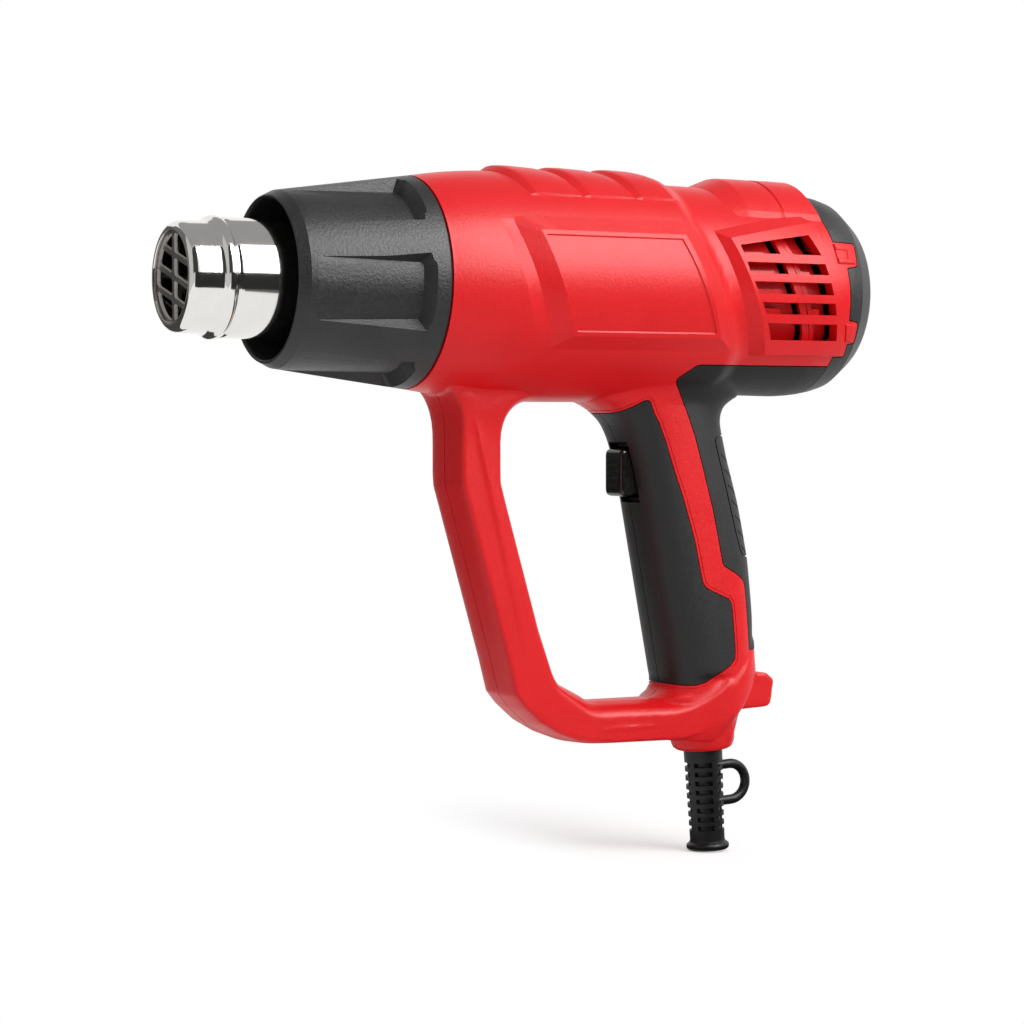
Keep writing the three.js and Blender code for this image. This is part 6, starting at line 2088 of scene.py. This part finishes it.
@dataclass
class CordSleeve:
    """The slotted strain relief with its hanging eye."""

    finishes: Finishes
    seat: SleeveSeat = field(default_factory=SleeveSeat)
    bore: float = 3.6
    top_radius: float = 6.42
    end_radius: float = 5.75
    drop: float = 30.6
    lip: float = 7.1
    lip_height: float = 2.2
    rows: int = 8
    first_row: float = -3.44
    pitch: float = 3.02
    slot: float = 1.6
    slot_over: float = 1.5
    floor: float = 4.65
    web: float = 0.95
    webs: tuple[float, ...] = (-70.3, 3.7, 93.7, 199.7)
    eye_start: float = 4.4
    eye_reach: float = 9.9
    eye_middle: float = -11.45
    eye_radius: float = 6.0
    eye_cord: float = 1.6
    eye_lead: float = 0.4

    def slot_tool(self, row: int, gap: int) -> Piece:
        """A tool for one slot, between two webs.

        Args:
            row: which row from the top.
            gap: which gap of the turn.

        Returns:
            The solid.
        """
        high = self.first_row - row * self.pitch
        turns = [*self.webs, self.webs[0] + 360.0]
        corners = []
        for reach, ends in ((self.top_radius + self.slot_over, 1), (self.floor, -1)):
            aside = math.degrees(math.asin(self.web / reach))
            sweep = [math.radians(a) for a in steps(turns[gap] + aside, turns[gap + 1] - aside, 9)[::ends]]
            corners += [(reach * math.sin(a), -reach * math.cos(a)) for a in sweep]
        rings = [[self.seat.place((x, y, z)) for x, y in corners] for z in (high, high - self.slot)]
        return skin("slot", rings)

    def eye(self) -> Piece:
        """The hanging eye: a round cord bent into a bow.

        Returns:
            The solid.
        """
        middle, radius, turn_at = self.eye_middle, self.eye_radius, self.eye_reach - self.eye_lead
        path = [(x, middle + radius) for x in steps(self.eye_start, turn_at, 5)]
        path += [
            (self.eye_reach + radius * math.sin(a), middle + radius * math.cos(a))
            for a in steps(0, math.pi, 25)]
        path += [(x, middle - radius) for x in steps(turn_at, self.eye_start, 5)]
        rings = []
        for k, (x, z) in enumerate(path):
            before, after = path[max(k - 1, 0)], path[min(k + 1, len(path) - 1)]
            ahead = Vector((after[0] - before[0], after[1] - before[1])).normalized()
            ring = []
            for b in turn(20):
                out, aside = self.eye_cord * math.cos(b), self.eye_cord * math.sin(b)
                ring.append(self.seat.place((x + ahead.y * out, aside, z - ahead.x * out)))
            rings.append(ring)
        return skin("eye", rings)

    def build(self) -> None:
        """Turn the sleeve, cut its slots, add its eye and settle it."""
        end, low = -self.drop, -self.drop - self.lip_height
        profile = [
            (self.bore, 10.0), (8.4, 10.0), (8.4, 7.7), (self.top_radius, 7.6), (self.top_radius, 0.0),
            (self.top_radius - 0.15, -8.0), (self.end_radius + 0.2, -20.0), (self.end_radius, end + 1.2),
            (self.end_radius + 0.25, end + 0.35), (self.lip - 0.5, end), (self.lip - 0.1, end - 0.4),
            (self.lip, end - 1.0), (self.lip - 0.1, low + 0.5), (self.lip - 0.6, low), (self.bore + 0.6, low),
            (self.bore, low + 0.6),
        ]
        piece = self.seat.turned("strain_relief", profile, 72, True)
        carve_all(piece, [
            self.slot_tool(row, gap) for row in range(self.rows) for gap in range(len(self.webs))
        ], Carve.CUT)
        carve(piece, self.eye(), Carve.ADD)
        shade(piece, ROUND)
        self.finishes.settle(piece, "sleeve_rubber", "cord_sleeve")


# ---------------------------------------------------------------- studio


@dataclass
class Lamp:
    """A soft box: a rectangle of even light aimed at a point."""

    name: str
    place: Point
    aim: Point
    size: Flat
    radiance: float
    reflected: bool = True
    lights: bool = True

    def build(self) -> None:
        """Hang the lamp."""
        place, aim = Vector(self.place) * MM, Vector(self.aim) * MM
        turned_to = (aim - place).to_track_quat("-Z", "Y").to_euler()
        bpy.ops.object.light_add(type="AREA", location=place, rotation=turned_to)
        lamp = bpy.context.object
        lamp.name = self.name
        lamp.data.shape = "RECTANGLE"
        lamp.data.size, lamp.data.size_y = self.size[0] * MM, self.size[1] * MM
        lamp.data.energy = self.radiance * math.pi * lamp.data.size * lamp.data.size_y
        lamp.visible_camera = False
        lamp.visible_glossy = self.reflected
        lamp.visible_diffuse = self.lights


@dataclass
class Card:
    """A flat glowing card that only reflections show, as a photographer hangs round bright metal: a painted
    reflection, dark or pale, that lights nothing.
    """

    name: str
    low: Point
    high: Point
    level: float

    def build(self) -> Piece:
        """Stand the card up.

        Returns:
            The card.
        """
        deselect()
        bpy.ops.mesh.primitive_plane_add(size=1.0)
        card = bpy.context.object
        card.name = self.name
        first, second = (k for k in range(3) if self.low[k] != self.high[k])
        for k, vert in enumerate(card.data.vertices):
            corner = list(self.low)
            corner[first] = (self.low, self.high)[k % 2][first]
            corner[second] = (self.low, self.high)[k // 2][second]
            vert.co = Vector(corner) * MM
        material = bpy.data.materials.new(f"card_{self.name}")
        tree = cleared(material)
        # the card glows at its level: a painted reflection, not a lamp
        glow = add(tree, "ShaderNodeEmission", {"Color": WHITE, "Strength": self.level}, {})
        add(tree, "ShaderNodeOutputMaterial", {}, {"Surface": glow.outputs[0]})
        card.data.materials.append(material)
        return card


@dataclass
class Studio:
    """A white table, soft lamps and the camera at the photograph's place."""

    camera_place: Point = (-575.2, -844.5, -45.1)
    yaw: float = math.radians(28.32)
    pitch: float = math.radians(1.63)
    lens: float = 105.47
    sensor: float = 36.0
    clip: Flat = (0.01, 50.0)
    floor_z: float = -186.0
    floor_size: float = 30.0
    # the patch of floor that shows the shadow, in m: its middle, its shape and its soft edge
    patch_middle: Point = (-0.05, 0.055, 0.0)
    patch_shape: Point = (1.0, 0.4, 0.0)
    patch_edge: Flat = (0.012, 0.052)
    paper: float = 0.8
    patch_paper: float = 0.7
    patch_glow: float = 0.4
    ambient: float = 0.46
    lamps: tuple[Lamp, ...] = (
        Lamp("key", (260.0, -694.0, 531.0), (-110.0, 0.0, -10.0), (800.0, 880.0), 3.55),
        Lamp("sheen", (261.0, -696.0, 532.5), (-110.0, 0.0, -10.0), (800.0, 880.0), 5.0, lights=False),
        Lamp("top", (-110.0, -150.0, 900.0), (-110.0, 0.0, 0.0), (1400.0, 1000.0), 0.5, False),
    )
    # glowing cards seen only in reflections: painted reflections, dark and pale, on the glossy surfaces
    cards: tuple[Card, ...] = (
        Card("dark_front", (-520, -440, -187), (1100, -440, 58), 0.03),
        Card("dark_upper_left", (-900, -440, 58), (-250, -440, 800), 0.05),
        Card("grey_ceiling", (-1100, -420, 800), (900, 900, 800), 0.36),
        Card("pale_left", (-900, -900, -187), (-900, 300, 800), 0.62),
        Card("grey_left", (-900, 300, -60), (-900, 1600, 800), 0.16),
        Card("dark_left", (-900, 300, -187), (-900, 1600, -60), 0.04),
        Card("dark_back_left", (-900, 1600, -187), (-250, 1600, 500), 0.1),
        Card("dark_floor_left", (-900, 150, -185), (-160, 1600, -185), 0.06),
        Card("dark_floor", (-70, -190, -185), (36, 200, -185), 0.06),
        Card("grey_floor", (-50, -440, -185), (500, -190, -185), 0.12),
        Card("mid_floor", (36, -190, -185), (58, 300, -185), 0.35),
        Card("pale_floor", (58, -190, -185), (500, 300, -185), 0.8),
    )

    def build(self) -> None:
        """Set the camera, the floor, the lamps, the cards and the world."""
        self.add_camera()
        self.add_floor()
        for lamp in self.lamps:
            lamp.build()
        self.hang_cards()
        self.light_world()
        bpy.context.scene.view_settings.view_transform = "Standard"

    def hang_cards(self) -> None:
        """Stand every card up, joined in one object that only reflections show."""
        made = [card.build() for card in self.cards]
        deselect()
        for card in made:
            card.select_set(True)
        bpy.context.view_layer.objects.active = made[0]
        bpy.ops.object.join()
        cards = made[0]
        cards.name = "reflection_cards"
        cards.visible_camera = False
        cards.visible_diffuse = False
        cards.visible_shadow = False
        cards.visible_transmission = False

    def add_camera(self) -> None:
        """Stand the camera where the photograph was taken."""
        c = math.cos(self.pitch)
        ahead = Vector((math.sin(self.yaw) * c, math.cos(self.yaw) * c, -math.sin(self.pitch)))
        bpy.ops.object.camera_add(
            location=Vector(self.camera_place) * MM, rotation=ahead.to_track_quat("-Z", "Y").to_euler())
        camera = bpy.context.object
        camera.name = "camera"
        camera.data.sensor_width = self.sensor
        camera.data.lens = self.lens
        camera.data.clip_start, camera.data.clip_end = self.clip
        bpy.context.scene.camera = camera

    def add_floor(self) -> None:
        """Lay a wide white floor that keeps the tool's shadow."""
        deselect()
        bpy.ops.mesh.primitive_grid_add(
            x_subdivisions=8, y_subdivisions=8, size=self.floor_size, location=(0, 0, self.floor_z * MM))
        floor = bpy.context.object
        floor.name = "floor"
        material = bpy.data.materials.new("paper_sweep")
        tree = cleared(material)
        place = add(tree, "ShaderNodeTexCoord", {}, {})
        # the shadow shows only in a narrow patch that runs back from the sleeve's foot
        offset = add(tree, "ShaderNodeVectorMath", {"operation": "SUBTRACT", 1: self.patch_middle}, {
            0: place.outputs["Object"]})
        drawn = add(tree, "ShaderNodeVectorMath", {"operation": "MULTIPLY", 1: self.patch_shape}, {
            0: offset.outputs["Vector"]})
        away = add(tree, "ShaderNodeVectorMath", {"operation": "LENGTH"}, {0: drawn.outputs["Vector"]})
        fade = add(tree, "ShaderNodeMapRange", {
            "interpolation_type": "SMOOTHSTEP",
            "From Min": self.patch_edge[0], "From Max": self.patch_edge[1],
        }, {"Value": away.outputs["Value"]})
        paper, half_lit = (
            add(tree, "ShaderNodeBsdfDiffuse", {"Color": (level, level, level, 1.0)}, {})
            for level in (self.paper, self.patch_paper))
        glow, white = (
            add(tree, "ShaderNodeEmission", {"Color": WHITE, "Strength": level}, {})
            for level in (self.patch_glow, 1.0))
        near = add(tree, "ShaderNodeAddShader", {}, {0: half_lit.outputs[0], 1: glow.outputs[0]})
        shown = add(tree, "ShaderNodeMixShader", {}, {
            0: fade.outputs["Result"], 1: near.outputs[0], 2: white.outputs[0]})
        mixed = add(tree, "ShaderNodeMixShader", {}, {
            0: seen_rays(tree), 1: paper.outputs[0], 2: shown.outputs[0]})
        add(tree, "ShaderNodeOutputMaterial", {}, {"Surface": mixed.outputs[0]})
        floor.data.materials.append(material)

    def light_world(self) -> None:
        """White behind the tool, a softer grey for the light it gives."""
        world = bpy.data.worlds.new("studio")
        bpy.context.scene.world = world
        tree = cleared(world)
        soft, white = (
            add(tree, "ShaderNodeBackground", {"Color": WHITE, "Strength": level}, {})
            for level in (self.ambient, 1.0))
        mixed = add(tree, "ShaderNodeMixShader", {}, {
            0: seen_rays(tree), 1: soft.outputs[0], 2: white.outputs[0]})
        add(tree, "ShaderNodeOutputWorld", {}, {"Surface": mixed.outputs[0]})


def main() -> None:
    """Build the tool's pieces in order, dress the rest and light the studio."""
    logging.basicConfig(level=logging.INFO, format="%(name)s %(message)s")
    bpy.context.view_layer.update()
    finishes = Finishes()
    Coil(finishes).build()
    finishes.dress_nodes()
    Housing(finishes).build()
    HeatGuard(finishes).build()
    Nozzle(finishes).build()
    Rocker(finishes).build()
    CordSleeve(finishes).build()
    Studio().build()


if __name__ == "__main__":
    main()
